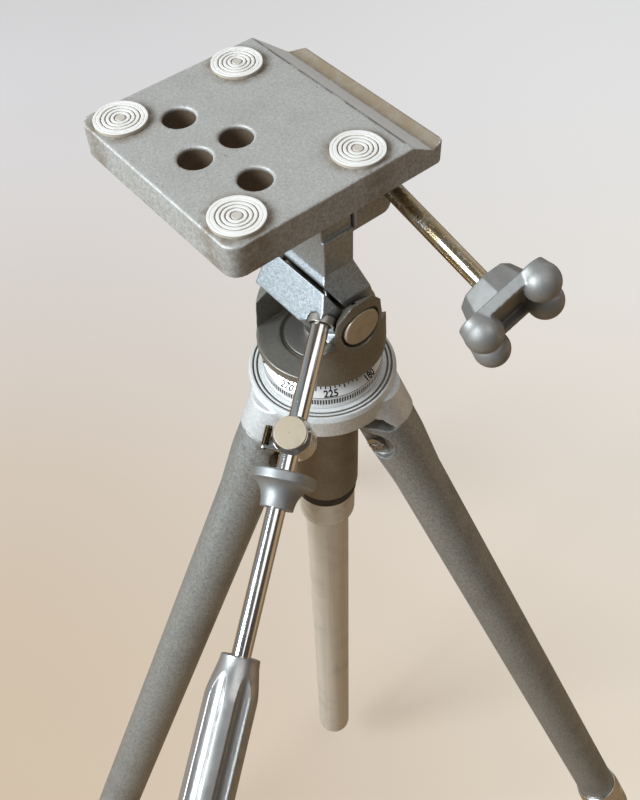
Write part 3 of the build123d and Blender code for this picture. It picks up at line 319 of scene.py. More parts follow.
class Wire:
    """Output of a node. Arithmetic on it adds Math nodes."""

    def __init__(self, graph, socket):
        self.graph = graph
        self.socket = socket

    def __add__(self, other):
        return self.graph.math("ADD", self, other)

    __radd__ = __add__

    def __sub__(self, other):
        return self.graph.math("SUBTRACT", self, other)

    def __rsub__(self, other):
        return self.graph.math("SUBTRACT", other, self)

    def __mul__(self, other):
        return self.graph.math("MULTIPLY", self, other)

    __rmul__ = __mul__

    def __or__(self, other):
        return self.graph.math("MAXIMUM", self, other)

    __ror__ = __or__


class Graph:
    """Node tree with short ways to add nodes."""

    def __init__(self, tree):
        self.tree = tree
        self.tree.nodes.clear()

    def feed(self, node, values):
        """Give sockets, by name or number, a value or another node's output."""
        for key, value in values.items():
            socket = node.inputs[key]
            if isinstance(value, Wire):
                self.tree.links.new(value.socket, socket)
            elif socket.type == "RGBA":
                socket.default_value = (*value[:3], 1)
            else:
                socket.default_value = value

    def node(self, kind, settings=None, values=None, output=0):
        """Add a node with its settings, then its sockets' values, and return one output."""
        made = self.tree.nodes.new(kind)
        for key, value in (settings or {}).items():
            setattr(made, key, value)
        self.feed(made, values or {})
        return Wire(self, made.outputs[output])

    def math(self, operation, first, second):
        """One sum on two values."""
        return self.node("ShaderNodeMath", {"operation": operation}, {0: first, 1: second})

    def vector(self, operation, first, second, output=0):
        """One sum on two vectors."""
        return self.node("ShaderNodeVectorMath", {"operation": operation}, {0: first, 1: second}, output)

    def mix(self, share, first, second):
        """Colour between two colours."""
        return self.node("ShaderNodeMix", {"data_type": "RGBA"}, {0: share, 6: first, 7: second}, output=2)

    def band(self, value, low, high):
        """0 below low, 1 above high and smooth between them. With low above high it falls instead."""
        settings = {"interpolation_type": "SMOOTHSTEP"}
        return self.node("ShaderNodeMapRange", settings, {"Value": value, "From Min": low, "From Max": high})

    def end(self, kind, shader):
        """Link a shader to the tree's output."""
        last = self.tree.nodes.new(kind)
        self.tree.links.new(shader.socket, last.inputs["Surface"])


class Finish(Graph):
    """Material around one Principled shader."""

    def __init__(self, name, **constants):
        self.material = bpy.data.materials.new(name)
        self.material.use_nodes = True
        super().__init__(self.material.node_tree)
        self.surface = self.node("ShaderNodeBsdfPrincipled", values=constants)
        self.place = self.node("ShaderNodeTexCoord", output="Object")

    def stretched(self, scale, turn=(0, 0, 0)):
        """Object coordinates turned and scaled by axis."""
        values = {"Vector": self.place, "Rotation": turn, "Scale": scale}
        return self.node("ShaderNodeMapping", {"vector_type": "TEXTURE"}, values)

    def noise(self, size, detail=3.0, roughness=0.55, place=None):
        """Cloudy pattern whose patches are about the size across."""
        values = {"Vector": place or self.place, "Scale": 1 / size, "Detail": detail, "Roughness": roughness}
        return self.node("ShaderNodeTexNoise", values=values)

    def patches(self, size, low, high, detail=3.0, place=None):
        """Parts of a cloudy pattern that stand above a level."""
        return self.band(self.noise(size, detail, place=place), low, high)

    def hollow_shade(self, distance, low=0.3, high=1.0):
        """Mask for painted shade from ambient occlusion: 1 deep in corners and gaps, 0 on open faces."""
        settings = {"samples": 6}
        open_share = self.node("ShaderNodeAmbientOcclusion", settings, {"Distance": distance}, output="AO")
        return self.band(open_share, 1 - low, 1 - high)

    def edges(self, low=0.53, high=0.6):
        """1 along a casting's outer edges, 0 on faces."""
        return self.band(self.node("ShaderNodeNewGeometry", output="Pointiness"), low, high)

    def near(self, value, place, outer, inner):
        """1 within the inner distance of a place, 0 beyond the outer one."""
        return self.band(self.math("ABSOLUTE", value - place, 0), outer, inner)

    def axis(self, name, vector=None):
        """One of the object coordinates, or of another vector's."""
        return self.node("ShaderNodeSeparateXYZ", values={"Vector": vector or self.place}, output=name)

    def offset(self, point):
        """Object coordinates measured from a point."""
        return self.vector("SUBTRACT", self.place, point)

    def size(self, vector):
        """Length of a vector."""
        return self.vector("LENGTH", vector, (0, 0, 0), "Value")

    def distance(self, point, keep=(1, 1, 1)):
        """Distance from a point, measured along the axes that are kept."""
        return self.size(self.vector("MULTIPLY", self.offset(point), keep))

    def from_line(self, line):
        """Distance from a line."""
        return self.size(self.vector("CROSS_PRODUCT", self.offset(line.origin), line.along))

    def along(self, line):
        """Place along a line."""
        return self.vector("DOT_PRODUCT", self.offset(line.origin), line.along, "Value")

    def lathe_rings(self, line, size):
        """Fine rings round a line, as a lathe leaves them."""
        place = self.node("ShaderNodeCombineXYZ", values={"X": self.from_line(line), "Y": self.along(line)})
        return self.noise(size, detail=2, place=place)

    def done(self, colour, rough, height, depth, **others):
        """Link what changes over the surface and hand the material over. The normal is that of a surface
        raised by a height of 0 to 1 times the depth."""
        normal = self.node("ShaderNodeBump", values={"Height": height, "Distance": depth})
        values = {"Base Color": colour, "Roughness": rough, "Normal": normal, **others}
        self.feed(self.surface.socket.node, values)
        self.end("ShaderNodeOutputMaterial", self.surface)
        return self.material


def hammertone(name, dark, light, dirt_and_shade, metallic=0.5, roughness=0.34, depth=0.025 * MM, dirty_at=()):
    """Hammertone enamel: fine pale flakes, dark specks, smudges, dirty patches round points, and painted
    shade in corners.
    """
    made = Finish(name, Metallic=metallic)
    flakes = made.patches(0.5 * MM, 0.34, 0.66, detail=2.0)
    pools = made.patches(1.6 * MM, 0.34, 0.68, detail=2.0)
    smudges = made.patches(26 * MM, 0.46, 0.76, detail=5)
    specks = made.patches(1.5 * MM, 0.74, 0.78, detail=2)
    # Dark specks and dirty patches round the hinge points are real soiling; the occlusion mask adds painted
    # shade in corners.
    grime_and_shade = specks * 0.7 | made.hollow_shade(5 * MM) * 0.8
    cloud = made.noise(6 * MM, detail=5)
    for point, radius in dirty_at:
        reach = made.distance(point) + (cloud - 0.5) * radius
        grime_and_shade = grime_and_shade | made.band(reach, radius, 0.6 * radius) * 0.9
    colour = made.mix(flakes * 0.65 + pools * 0.35, dark, light)
    colour = made.mix(smudges * 0.25, colour, dirt_and_shade)
    colour = made.mix(grime_and_shade, colour, dirt_and_shade)
    rough = roughness + 0.12 * flakes + 0.12 * smudges + 0.2 * grime_and_shade
    return made.done(colour, rough, flakes * 0.6 + pools * 0.4, depth)


def satin_casting(name, colour, dirt_and_shade, metallic=0.85, roughness=0.3):
    """Die casting rubbed smooth: faint clouds, few pits, painted shade in the corners in a brown tone, and
    bright edges.
    """
    made = Finish(name, Metallic=metallic)
    fine = made.noise(0.6 * MM, detail=3)
    clouds = made.patches(5 * MM, 0.36, 0.7, detail=4)
    pits = made.patches(1.7 * MM, 0.73, 0.77)
    bright = tuple(min(1.0, 1.45 * channel) for channel in colour)
    shade = made.mix(clouds * 0.22 + fine * 0.12, colour, dirt_and_shade)
    shade = made.mix(made.edges() * 0.5, shade, bright)
    # Pits, and painted shade in the corners, in the brown colour.
    shade = made.mix(pits * 0.6 | made.hollow_shade(6 * MM) * 0.7, shade, dirt_and_shade)
    rough = roughness + 0.1 * fine + 0.14 * clouds
    return made.done(shade, rough, fine * 0.5 + clouds * 0.5, 0.03 * MM)


def plate_metal(paint):
    """Casting of the plate: fine grain, a pitted crease, brown stains inside the ridge and round the pads,
    the latter also painting the pads' shadow, rusty brown with painted shade in the holes, painted shade in
    corners, a painted highlight on the slope, and bright chipped edges. Places go back from the front and
    down from the top."""
    made = Finish("plate casting", Metallic=0.25)
    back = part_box("camera_plate")[1].y - made.axis("Y")
    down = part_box("plate_pads")[0].z - made.axis("Z")
    level = made.band(made.axis("Z", made.node("ShaderNodeTexCoord", output="Normal")), 0.25, 0.5)
    side = made.band(down, 0.6 * MM, 1.6 * MM)

    fine = made.noise(0.8 * MM, detail=4, roughness=0.7)
    broad = made.patches(14 * MM, 0.4, 0.7, detail=5)
    mottle = made.patches(1.5 * MM, 0.4, 0.62, detail=4)
    patchy = made.patches(4.5 * MM, 0.34, 0.6, detail=5)
    pits = made.patches(1.9 * MM, 0.70, 0.75)
    marks = made.patches(6 * MM, 0.64, 0.7, detail=4, place=made.stretched((0.07, 1.5, 1), (0, 0, 0.5)))
    chips = made.patches(2.2 * MM, 0.4, 0.56) * made.edges(0.52, 0.57)

    # The pale slope is a painted highlight for light from the far side, laid in the rubbed-edge colour.
    slope = level * made.band(back, 16 * MM, 14.5 * MM) * made.band(back, 5 * MM, 6.5 * MM)
    ridge = level * made.band(back, 6.4 * MM, 5.0 * MM) * made.band(down, 9 * MM, 6 * MM)
    fold = level * made.near(back, 5.8 * MM, 0.9 * MM, 0.3 * MM)
    crease = made.near(back, 16.2 * MM, 0.7 * MM, 0.25 * MM) * made.band(down, 1.5 * MM, 0.6 * MM)
    crease = crease * made.patches(7 * MM, 0.34, 0.5)
    pitted = made.band(back, 19.5 * MM, 17.5 * MM) * made.band(back, 15 * MM, 16 * MM)
    pitted = pitted * made.patches(0.9 * MM, 0.64, 0.68) * made.patches(9 * MM, 0.45, 0.55)
    stains = pits * 0.7 | fold * 0.6
    # Brown ring round each pad: a stain that also paints the pad's shadow.
    for centre, radius in pad_places():
        stains = stains | made.band(made.distance(centre, (1, 1, 0)), 1.5 * radius, 0.98 * radius) * 0.8
    # Insides of the holes: rusty brown with painted shade.
    bored_rust_and_shade = 0
    for mount in frame["record"]["mounts"]:
        if mount["name"].startswith("hole"):
            bored_rust_and_shade = bored_rust_and_shade | made.band(made.distance(mount["pos_m"], (1, 1, 0)), 7.0 * MM, 6.7 * MM)
    bored_rust_and_shade = bored_rust_and_shade * made.band(down, 0.5 * MM, 2 * MM)

    colour = made.mix(made.band(fine, 0.28, 0.72), paint.plate_dark, paint.plate_light)
    for share, layer in (
        (mottle * (0.16 + 0.26 * side), paint.plate_low),
        (broad * 0.12, paint.plate_dirt_and_shade),
        # Painted highlight on the slope, in the rubbed-edge colour.
        (slope * 0.8, paint.plate_worn_and_highlight),
        # Stains, with the pads' painted shadow among them.
        (stains * (0.35 + 0.65 * patchy), paint.plate_dirt_and_shade),
        (marks * 0.5, paint.plate_worn_and_highlight),
        # Painted shade in the corners, in the plate's brown stain colour.
        (made.hollow_shade(3 * MM) * 0.5, paint.plate_dirt_and_shade),
        (ridge * (0.75 + 0.25 * patchy), paint.plate_tan),
        # Rusty brown with painted shade inside the holes.
        (bored_rust_and_shade * 0.92, paint.rust_and_shade),
        (crease * 0.6 | pitted * 0.9, paint.black),
        (chips * 0.85, paint.plate_worn_and_highlight),
    ):
        colour = made.mix(share, colour, layer)
    height = fine * 0.5 + (1 - pits) * 0.3 + (1 - (pitted | crease)) * 0.2
    return made.done(colour, 0.5 + 0.2 * fine - 0.15 * chips, height, 0.1 * MM)


def turned_metal(name, colour, dirt_and_shade, line, roughness=0.28, metallic=0.9):
    """Metal from a lathe: fine rings round a line, smudges, and painted shade in the grooves."""
    made = Finish(name, Metallic=metallic)
    rings = made.lathe_rings(line, 0.1 * MM)
    smudges = made.patches(7 * MM, 0.42, 0.72, detail=5)
    shade = made.mix(rings * 0.16 + smudges * 0.16, colour, dirt_and_shade)
    # Painted shade in the grooves and corners, in the brown colour.
    shade = made.mix(made.hollow_shade(2.5 * MM) * 0.85, shade, dirt_and_shade)
    rough = roughness + 0.14 * rings + 0.12 * smudges
    return made.done(shade, rough, rings, 0.012 * MM)


def plated_metal(name, colour, rust_and_shade, amount):
    """Bright plating with pits, rusted where it has gone through, and painted shade in its corners in the
    same rusty brown. The amount is the rusty share.
    """
    made = Finish(name)
    gone = made.patches(4 * MM, 0.8 - 0.5 * amount, 0.88 - 0.42 * amount, detail=6)
    gone = gone | made.patches(0.8 * MM, 0.67, 0.73) * (0.2 + 0.6 * amount)
    film = made.patches(12 * MM, 0.36, 0.76, detail=4)
    fine = made.noise(0.5 * MM, detail=2)
    shade = made.mix(film * (0.08 + 0.4 * amount), colour, rust_and_shade)
    # Rusted where the plating has gone, and painted shade in the corners.
    shade = made.mix(gone | made.hollow_shade(2.5 * MM) * 0.6, shade, rust_and_shade)
    rough = 0.08 + 0.05 * fine + (0.08 + 0.2 * amount) * film + 0.4 * gone
    return made.done(shade, rough, 1 - gone, 0.04 * MM, Metallic=1 - 0.6 * gone)


def worn_rod(paint):
    """Plating of the side lock's rod: brassy, its gold partly a painted reflection of the amber room, pitted,
    and dark with old grease towards the plate.
    """
    made = Finish("lock rod plating")
    along = made.along(SIDE_LOCK)
    near = made.band(along + (made.noise(7 * MM, detail=5) - 0.5) * 50 * MM, 58 * MM, 18 * MM)
    pits = made.patches(1.1 * MM, 0.60, 0.68, detail=4)
    streaks = made.patches(3 * MM, 0.46, 0.62, detail=4)
    gone = pits * (0.35 + 0.6 * near) | streaks * near * 0.9
    # Brassy gold, partly a painted reflection of the amber room, in patches with chrome.
    shade = made.mix(made.patches(9 * MM, 0.38, 0.66) * 0.6, paint.brass_and_reflection, paint.chrome)
    shade = made.mix(near * 0.45 | gone, shade, paint.rust_and_shade)
    rough = 0.16 + 0.1 * near + 0.35 * gone
    return made.done(shade, rough, 1 - gone, 0.05 * MM, Metallic=1 - 0.5 * gone)


def drawn_tube(name, colour, dirt_and_shade):
    """Pale anodised tube with long faint streaks, smudges and a few specks."""
    made = Finish(name, Metallic=0.05)
    streaks = made.noise(3 * MM, detail=3, place=made.stretched((1, 1, 40)))
    smudges = made.patches(20 * MM, 0.46, 0.78, detail=6)
    specks = made.patches(1.8 * MM, 0.75, 0.79)
    shade = made.mix(made.band(streaks, 0.4, 0.8) * 0.16, colour, dirt_and_shade)
    shade = made.mix(smudges * 0.18 | specks * 0.7, shade, dirt_and_shade)
    rough = 0.34 + 0.1 * streaks + 0.1 * smudges
    return made.done(shade, rough, streaks, 0.015 * MM)


def moulding(name, colour, wear, roughness, gloss=0.5):
    """Moulded plastic or rubber: fine grain, scuffs, dark specks and painted shade in the corners."""
    made = Finish(name, **{"Specular IOR Level": gloss})
    fine = made.noise(0.35 * MM)
    scuffs = made.patches(9 * MM, 0.5, 0.74, detail=6)
    specks = made.patches(1.6 * MM, 0.73, 0.78, detail=2)
    dark = tuple(0.35 * channel for channel in colour)
    shade = made.mix(scuffs * 0.35, colour, wear)
    # Dark specks, and painted shade in the corners.
    shade = made.mix(made.hollow_shade(3 * MM) * 0.8 | specks * 0.7, shade, dark)
    rough = roughness + 0.1 * fine + 0.15 * scuffs
    return made.done(shade, rough, fine, 0.03 * MM)


def pad_places():
    """Middle and radius of each pad, from its solids."""
    points = corners("plate_pads")
    low, high = points.min(0), points.max(0)
    middle = (low + high) / 2
    places = []
    for x, y in ((-1, -1), (-1, 1), (1, -1), (1, 1)):
        part = points[((points[:, :2] - middle[:2]) * (x, y) > 0).all(1)]
        centre = (part.min(0) + part.max(0)) / 2
        places.append((Vector((*centre[:2], low[2])), (part[:, 0].max() - part[:, 0].min()) / 2))
    return places


# Settings

def length(name, description, millimetres):
    """Setting for a length, shown with its unit."""
    shown = {"unit": "LENGTH", "precision": 5}
    return FloatProperty(name=name, description=description, default=millimetres * MM, **shown)


def tint(name, description, colour):
    """Setting for a colour."""
    shown = {"subtype": "COLOR", "min": 0, "max": 1}
    return FloatVectorProperty(name=name, description=description, default=colour, **shown)


class TripodSizes(bpy.types.PropertyGroup):
    """Sizes of the details that the CAD pieces leave plain."""

    break_edge: length("Broken edge", "Ease of a turned piece's corners", 0.5)
    cast_grain: length("Casting grain", "Grid on which a casting's skin is rebuilt", 0.5)
    knurl_depth: length("Knurl depth", "Depth of the dial's knurling", 0.55)
    knurl_teeth: IntProperty(name="Knurl teeth", description="Teeth round the dial", default=140)
    digit_height: length("Digit height", "Size of the dial's numbers", 4.6)
    digit_weight: length("Digit weight", "Growth of the numbers' strokes", 0.12)
    tick_step: IntProperty(name="Tick step", description="Degrees between ticks on the dial", default=5)
    groove_pitch: length("Groove pitch", "Distance between the ring's grooves", 1.9)
    groove_width: length("Groove width", "Width of the ring's grooves", 1.0)
    thread_pitch: length("Thread pitch", "Pitch of the nipple's thread", 0.7)


class TripodColours(bpy.types.PropertyGroup):
    """Colours of the finishes."""

    plate_dark: tint("Plate, dark", "Low grain of the plate's casting", (0.385, 0.38, 0.36))
    plate_light: tint("Plate, light", "High grain of the plate's casting", (0.56, 0.55, 0.52))
    # Brown stain colour of the plate, which also paints shade in its corners and the pads' shadows.
    plate_dirt_and_shade: tint("Plate dirt", "Stains on the plate", (0.19, 0.14, 0.09))
    plate_low: tint("Plate, low", "Mottles of the plate's casting", (0.19, 0.187, 0.18))
    plate_tan: tint("Plate, tan", "Stain inside the plate's ridge", (0.29, 0.225, 0.15))
    # Rubbed-edge colour, which also paints the highlight on the plate's slope.
    plate_worn_and_highlight: tint("Plate, worn", "Rubbed edges of the plate", (0.78, 0.78, 0.77))
    enamel_dark: tint("Enamel, dark", "Pools of the head's enamel", (0.27, 0.30, 0.32))
    enamel_light: tint("Enamel, light", "Flakes of the head's enamel", (0.55, 0.59, 0.61))
    leg_dark: tint("Leg, dark", "Pools of the legs' enamel", (0.23, 0.235, 0.225))
    leg_light: tint("Leg, light", "Flakes of the legs' enamel", (0.48, 0.49, 0.475))
    yoke_dark: tint("Yoke, dark", "Pools of the yoke's enamel", (0.20, 0.185, 0.155))
    yoke_light: tint("Yoke, light", "Flakes of the yoke's enamel", (0.29, 0.275, 0.24))
    hood_dark: tint("Hood, dark", "Pools of the shoulder's enamel", (0.60, 0.61, 0.60))
    hood_light: tint("Hood, light", "Flakes of the shoulder's enamel", (0.86, 0.87, 0.865))
    sleeve_dark: tint("Sleeve, dark", "Pools of the sleeve's enamel", (0.24, 0.205, 0.16))
    sleeve_light: tint("Sleeve, light", "Flakes of the sleeve's enamel", (0.34, 0.295, 0.235))
    # Pale warm tube colour: the anodised tubes' own tone, lightened and warmed as a painted reflection of the
    # floor.
    tube: tint("Tube", "Anodised tubes", (0.92, 0.83, 0.70))
    dial: tint("Dial", "Turned metal of the pan dial", (0.90, 0.89, 0.87))
    chrome: tint("Chrome", "Bright plating", (0.80, 0.79, 0.77))
    aluminium: tint("Aluminium", "Turned aluminium", (0.38, 0.39, 0.395))
    steel: tint("Steel", "Bare steel", (0.42, 0.40, 0.37))
    cap: tint("Clamp cap", "Flat cap of the clamp's screw", (0.54, 0.45, 0.33))
    tilt_head: tint("Tilt head", "Head of the tilt shaft", (0.60, 0.52, 0.40))
    # Gold of the rod's worn plating, partly a painted reflection of the amber room.
    brass_and_reflection: tint("Brass", "Worn plating of the side lock's rod", (0.62, 0.50, 0.30))
    # Rusty brown, which also paints shade in the plating's corners and the plate's holes.
    knob: tint("Knob", "Die casting of the side lock's knob", (0.36, 0.36, 0.35))
    # Brown soiling colour, which also paints shade in corners and grooves.
    rust_and_shade: tint("Rust", "Rust and old grease", (0.10, 0.06, 0.03))
    dirt_and_shade: tint("Dirt", "Brown dirt", (0.13, 0.10, 0.07))
    pads: tint("Pads", "Ribbed pads", (0.82, 0.80, 0.76))
    grip: tint("Grip", "Grip of the handle", (0.52, 0.52, 0.51))
    black: tint("Black", "Black plastic and rubber", (0.015, 0.015, 0.015))
    nylon: tint("Nylon", "Inner bushes", (0.60, 0.58, 0.52))
    floor_lit: tint("Floor, lit", "What the floor throws back at the tripod", (0.34, 0.225, 0.12))
    floor_near: tint("Floor, near", "Floor towards the camera", (0.62, 0.49, 0.355))
    floor_far: tint("Floor, far", "Floor away from the camera", (0.84, 0.82, 0.83))
    # Painted light that whitens the floor towards the right.
    floor_right_light: tint("Floor, right", "Floor to the camera's right", (1.0, 0.92, 0.81))


def sizes():
    """The scene's sizes."""
    return bpy.context.scene.tripod_sizes


def colours():
    """The scene's colours."""
    return bpy.context.scene.tripod_colours


# Pieces

class TRIPOD_OT_legs(bpy.types.Operator):
    """Make the legs: heads, tubes, lock collars, lower tubes and feet"""

    bl_idname = "tripod.legs"
    bl_label = "Legs"

    WALL = 1.2 * MM
    LAP = 2.5 * MM
    LAP_THINNED = 0.25 * MM
    PROUD = 0.05 * MM
    HINGE_DIRT = 18 * MM
    COLLAR_BORE = 12.9 * MM
    COLLAR_EDGE = 1.1 * MM
    COLLAR_FLARE = 8 * MM
    COLLAR_GROOVES = (13 * MM, 17 * MM)
    COLLAR_CUT = 0.5 * MM
    LIP_BORE = 10.8 * MM
    LIP_LENGTH = 6 * MM
    FOOT_GROOVES = (5 * MM, 8 * MM)
    FOOT_CUT = 0.6 * MM

    def execute(self, context):
        paint = colours()
        dirty = [(hinge, self.HINGE_DIRT) for hinge in HINGES]
        tones = (paint.leg_dark, paint.leg_light, paint.dirt_and_shade)
        enamel = hammertone("leg enamel", *tones, metallic=0.6, roughness=0.36, dirty_at=dirty)
        # Lower tubes in the pale tube colour, partly a painted reflection of the floor.
        drawn = drawn_tube("lower tube", paint.tube, paint.dirt_and_shade)
        rubber = moulding("foot rubber", paint.black, paint.dirt_and_shade, 0.6)
        nylon = moulding("leg nylon", paint.nylon, paint.dirt_and_shade, 0.45)
        chrome = plated_metal("leg collar", paint.chrome, paint.rust_and_shade, 0.05)
        for leg, line in LEG_LINES.items():
            name = f"leg_{leg}_{{}}".format
            casting(name("head"), name("fork"), enamel, sizes().cast_grain, 5)
            make(name("upper_tube"), self.upper(line, *line.reach(name("tube"))), enamel, name("tube"))
            make(name("lock_collar"), self.collar(line, *line.reach(name("collar"))), chrome, name("collar"))
            make(name("lower_tube"), tube(line, *line.reach(name("lower")), self.WALL), drawn, name("lower"))
            make(name("foot_cap"), self.foot(line, *line.reach(name("foot"))), rubber, name("foot"))
            coat(nylon, name("bush"), name("guide"))
        return {"FINISHED"}

    def upper(self, line, low, high, radius):
        """Enamelled tube whose upper rim laps over the leg's head and thins out to nothing there."""
        start = low - self.LAP
        bore = radius - self.WALL
        thin, proud = radius - self.LAP_THINNED, radius + self.PROUD
        outline = [(thin, start), (proud, low), (proud, high), (bore, high), (bore, start)]
        return ring(line, outline, 0.3 * MM)

    def collar(self, line, low, high, radius):
        """Lock collar: a flared skirt, a barrel with two fine grooves and a lip round the lower tube."""
        bore, lip, cut = self.COLLAR_BORE, self.LIP_BORE, self.COLLAR_CUT
        lip_start = high - self.LIP_LENGTH
        outline = [(bore, low), (bore + self.COLLAR_EDGE, low), (radius, low + self.COLLAR_FLARE)]
        for groove in self.COLLAR_GROOVES:
            place = low + groove
            outline += [
                (radius, place), (radius - cut, place + cut),
                (radius - cut, place + 2 * cut), (radius, place + 3 * cut),
            ]
        outline += [(radius, high), (lip, high), (lip, lip_start), (bore, lip_start)]
        return ring(line, outline, 0.4 * MM)

    def foot(self, line, low, high, radius):
        """Rubber foot: a sleeve with two grooves and a ball end, r = R cos a."""
        ball = np.linspace(0, pi / 2, 14)
        end = np.column_stack((radius * np.cos(ball), high - radius + radius * np.sin(ball)))
        cut = self.FOOT_CUT
        side = [(0, low), (radius, low)]
        for groove in self.FOOT_GROOVES:
            place = low + groove
            side += [(radius, place - cut), (radius - cut, place), (radius, place + cut)]
        outline = np.vstack((eased(side + [(radius, high - radius - cut)], 0.4 * MM), end))
        return shell(turned(line, outline))


class TRIPOD_OT_shoulder(bpy.types.Operator):
    """Make the shoulder: its casting with the hoods, its grooved ring and the hinge bolts"""

    bl_idname = "tripod.shoulder"
    bl_label = "Shoulder"

    RADIUS = 35.7 * MM
    WIDTH = 8 * MM
    EDGE = 0.6 * MM
    BEVEL = 1.0 * MM
    RISE = 2.3 * MM
    DEPTH = 4.0 * MM
    DRAW_IN = 0.1 * MM
    PROUD = 0.05 * MM
    BED = 1.4 * MM
    BED_EDGE = 0.5 * MM
    GROOVE_DEPTH = 0.9 * MM
    GROOVE_TAPER = 0.75

    def execute(self, context):
        paint = colours()
        self.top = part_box("shoulder")[1].z + self.PROUD
        enamel = hammertone("shoulder enamel", paint.hood_dark, paint.hood_light, paint.dirt_and_shade, 0.4, 0.34)
        casting("shoulder", "shoulder_casting", enamel, sizes().cast_grain, 8, self.bedded)
        add_on("shoulder_ring", self.ring_surface(sizes()), self.ring_finish(paint), "shoulder")
        rusty = plated_metal("hinge steel", paint.steel, paint.rust_and_shade, 0.6)
        machined("hinge_bolts", "hinge_bolt_heads", rusty, 0.35 * MM)
        machined("hinge_nuts", "hinge_hex_nuts", rusty, 0.35 * MM)
        return {"FINISHED"}

    def bedded(self, points):
        """Casting with a bed for the ring: z is at most the bed's level inside the ring's edge."""
        inside = np.hypot(points[:, 0], points[:, 1]) < self.RADIUS - self.BED_EDGE
        points[:, 2] = np.where(inside, np.minimum(points[:, 2], self.top - self.BED), points[:, 2])
        return points

    def ring_surface(self, size):
        """Turned ring on the casting: two grooves in its top, a bevel and a short side."""
        top, radius = self.top, self.RADIUS
        inner = radius - self.WIDTH
        half = size.groove_width / 2
        foot = self.GROOVE_TAPER * half
        floor = top - self.GROOVE_DEPTH
        outline = [(inner, top - self.DEPTH), (inner, top)]
        for groove in (2, 1):
            middle = radius - self.EDGE - groove * size.groove_pitch
            outline += [(middle - half, top), (middle - foot, floor)]
            outline += [(middle + foot, floor), (middle + half, top)]
        outline += [(radius - self.BEVEL, top), (radius, top - self.RISE)]
        outline += [(radius - self.DRAW_IN, top - self.DEPTH)]
        return ring(PAN, outline, 0.2 * MM, sides=192)

    def ring_finish(self, paint):
        """Pale enamel over a turned ring, dark in the grooves."""
        made = Finish("ring enamel", Metallic=0.15)
        rings = made.lathe_rings(PAN, 0.15 * MM)
        flakes = made.patches(0.7 * MM, 0.36, 0.64, detail=2)
        smudges = made.patches(9 * MM, 0.45, 0.75, detail=5)
        deep = made.band(made.axis("Z"), self.top - 0.2 * MM, self.top - 0.5 * MM)
        deep = deep * made.band(made.from_line(PAN), self.RADIUS - 1.2 * MM, self.RADIUS - 1.5 * MM)
        shade = made.mix(flakes * 0.5 + rings * 0.4, paint.hood_dark, paint.hood_light)
        shade = made.mix(smudges * 0.15, shade, paint.dirt_and_shade)
        shade = made.mix(deep * 0.9, shade, paint.dirt_and_shade)
        rough = 0.28 + 0.12 * rings + 0.12 * smudges
        return made.done(shade, rough, rings, 0.02 * MM)


class TRIPOD_OT_column(bpy.types.Operator):
    """Make the column, its sleeve and its lock"""

    bl_idname = "tripod.column"
    bl_label = "Column"

    BORE = 12.55 * MM
    NECK = 14.2 * MM
    NECK_LENGTH = 20 * MM
    NECK_FIT = 0.05 * MM
    WALL = 2 * MM
    CAP_RIM = 4 * MM
    CAP_ROUND = 1.8 * MM
    CAP_SEAM = 0.1 * MM
    LIP_FIT = 0.4 * MM
    LIP_LENGTH = 4 * MM
    GROOVE_PLACE = 2.5 * MM
    GROOVE_CUT = 0.4 * MM

    def execute(self, context):
        paint = colours()
        ease = sizes().break_edge
        bore, neck = self.BORE, self.NECK
        enamel = hammertone("sleeve enamel", paint.sleeve_dark, paint.sleeve_light, paint.rust_and_shade, 0.6, 0.34)
        low, high, radius = PAN.reach("column_sleeve")
        step = low + self.NECK_LENGTH
        outline = [(bore, high), (radius, high), (radius, step), (neck, step), (neck, low), (bore, low)]
        make("column_guide_sleeve", ring(PAN, outline, ease), enamel, "column_sleeve")
        black = moulding("guard plastic", paint.black, paint.dirt_and_shade, 0.45)
        low, high, radius = PAN.reach("column_ring")
        outline = [(neck, low), (radius, low), (radius, high), (neck, high)]
        make("column_guard_ring", ring(PAN, outline, ease), black, "column_ring")
        # Pale lock collar, nearly without metal, whose bright tube colour is partly a painted reflection of
        # the floor.
        chrome = turned_metal("lock collar metal", paint.tube, paint.dirt_and_shade, PAN, 0.34, 0.1)
        barrel = self.collar(*PAN.reach("column_lock_collar"))
        make("column_lock_barrel", barrel, chrome, "column_lock_collar")
        # Column tube in the pale tube colour, partly a painted reflection of the floor.
        drawn = drawn_tube("column tube", paint.tube, paint.dirt_and_shade)
        make("column_tube", tube(PAN, *PAN.reach("centre_column"), self.WALL), drawn, "centre_column")
        low, high, radius = PAN.reach("column_end_cap")
        plug, rim = radius - self.WALL, low + self.CAP_RIM
        outline = [(0, low), (radius, low), (radius, rim), (plug, rim), (plug, high), (0, high)]
        cap = solid(PAN, outline, (0, self.CAP_ROUND, self.CAP_SEAM, ease, ease, 0))
        make("column_foot_cap", cap, drawn, "column_end_cap")
        coat(moulding("column nylon", paint.nylon, paint.dirt_and_shade, 0.45), "column_bush")
        return {"FINISHED"}

    def collar(self, low, high, radius):
        """Lock collar: a barrel with one fine groove and a lip round the column."""
        neck, lip = self.NECK + self.NECK_FIT, self.BORE + self.LIP_FIT
        groove, lip_top = low + self.GROOVE_PLACE, low + self.LIP_LENGTH
        cut = self.GROOVE_CUT
        outline = [
            (neck, high), (radius, high),
            (radius, groove + cut), (radius - cut, groove), (radius, groove - cut),
            (radius, low), (lip, low), (lip, lip_top), (neck, lip_top),
        ]
        return ring(PAN, outline, 0.3 * MM)


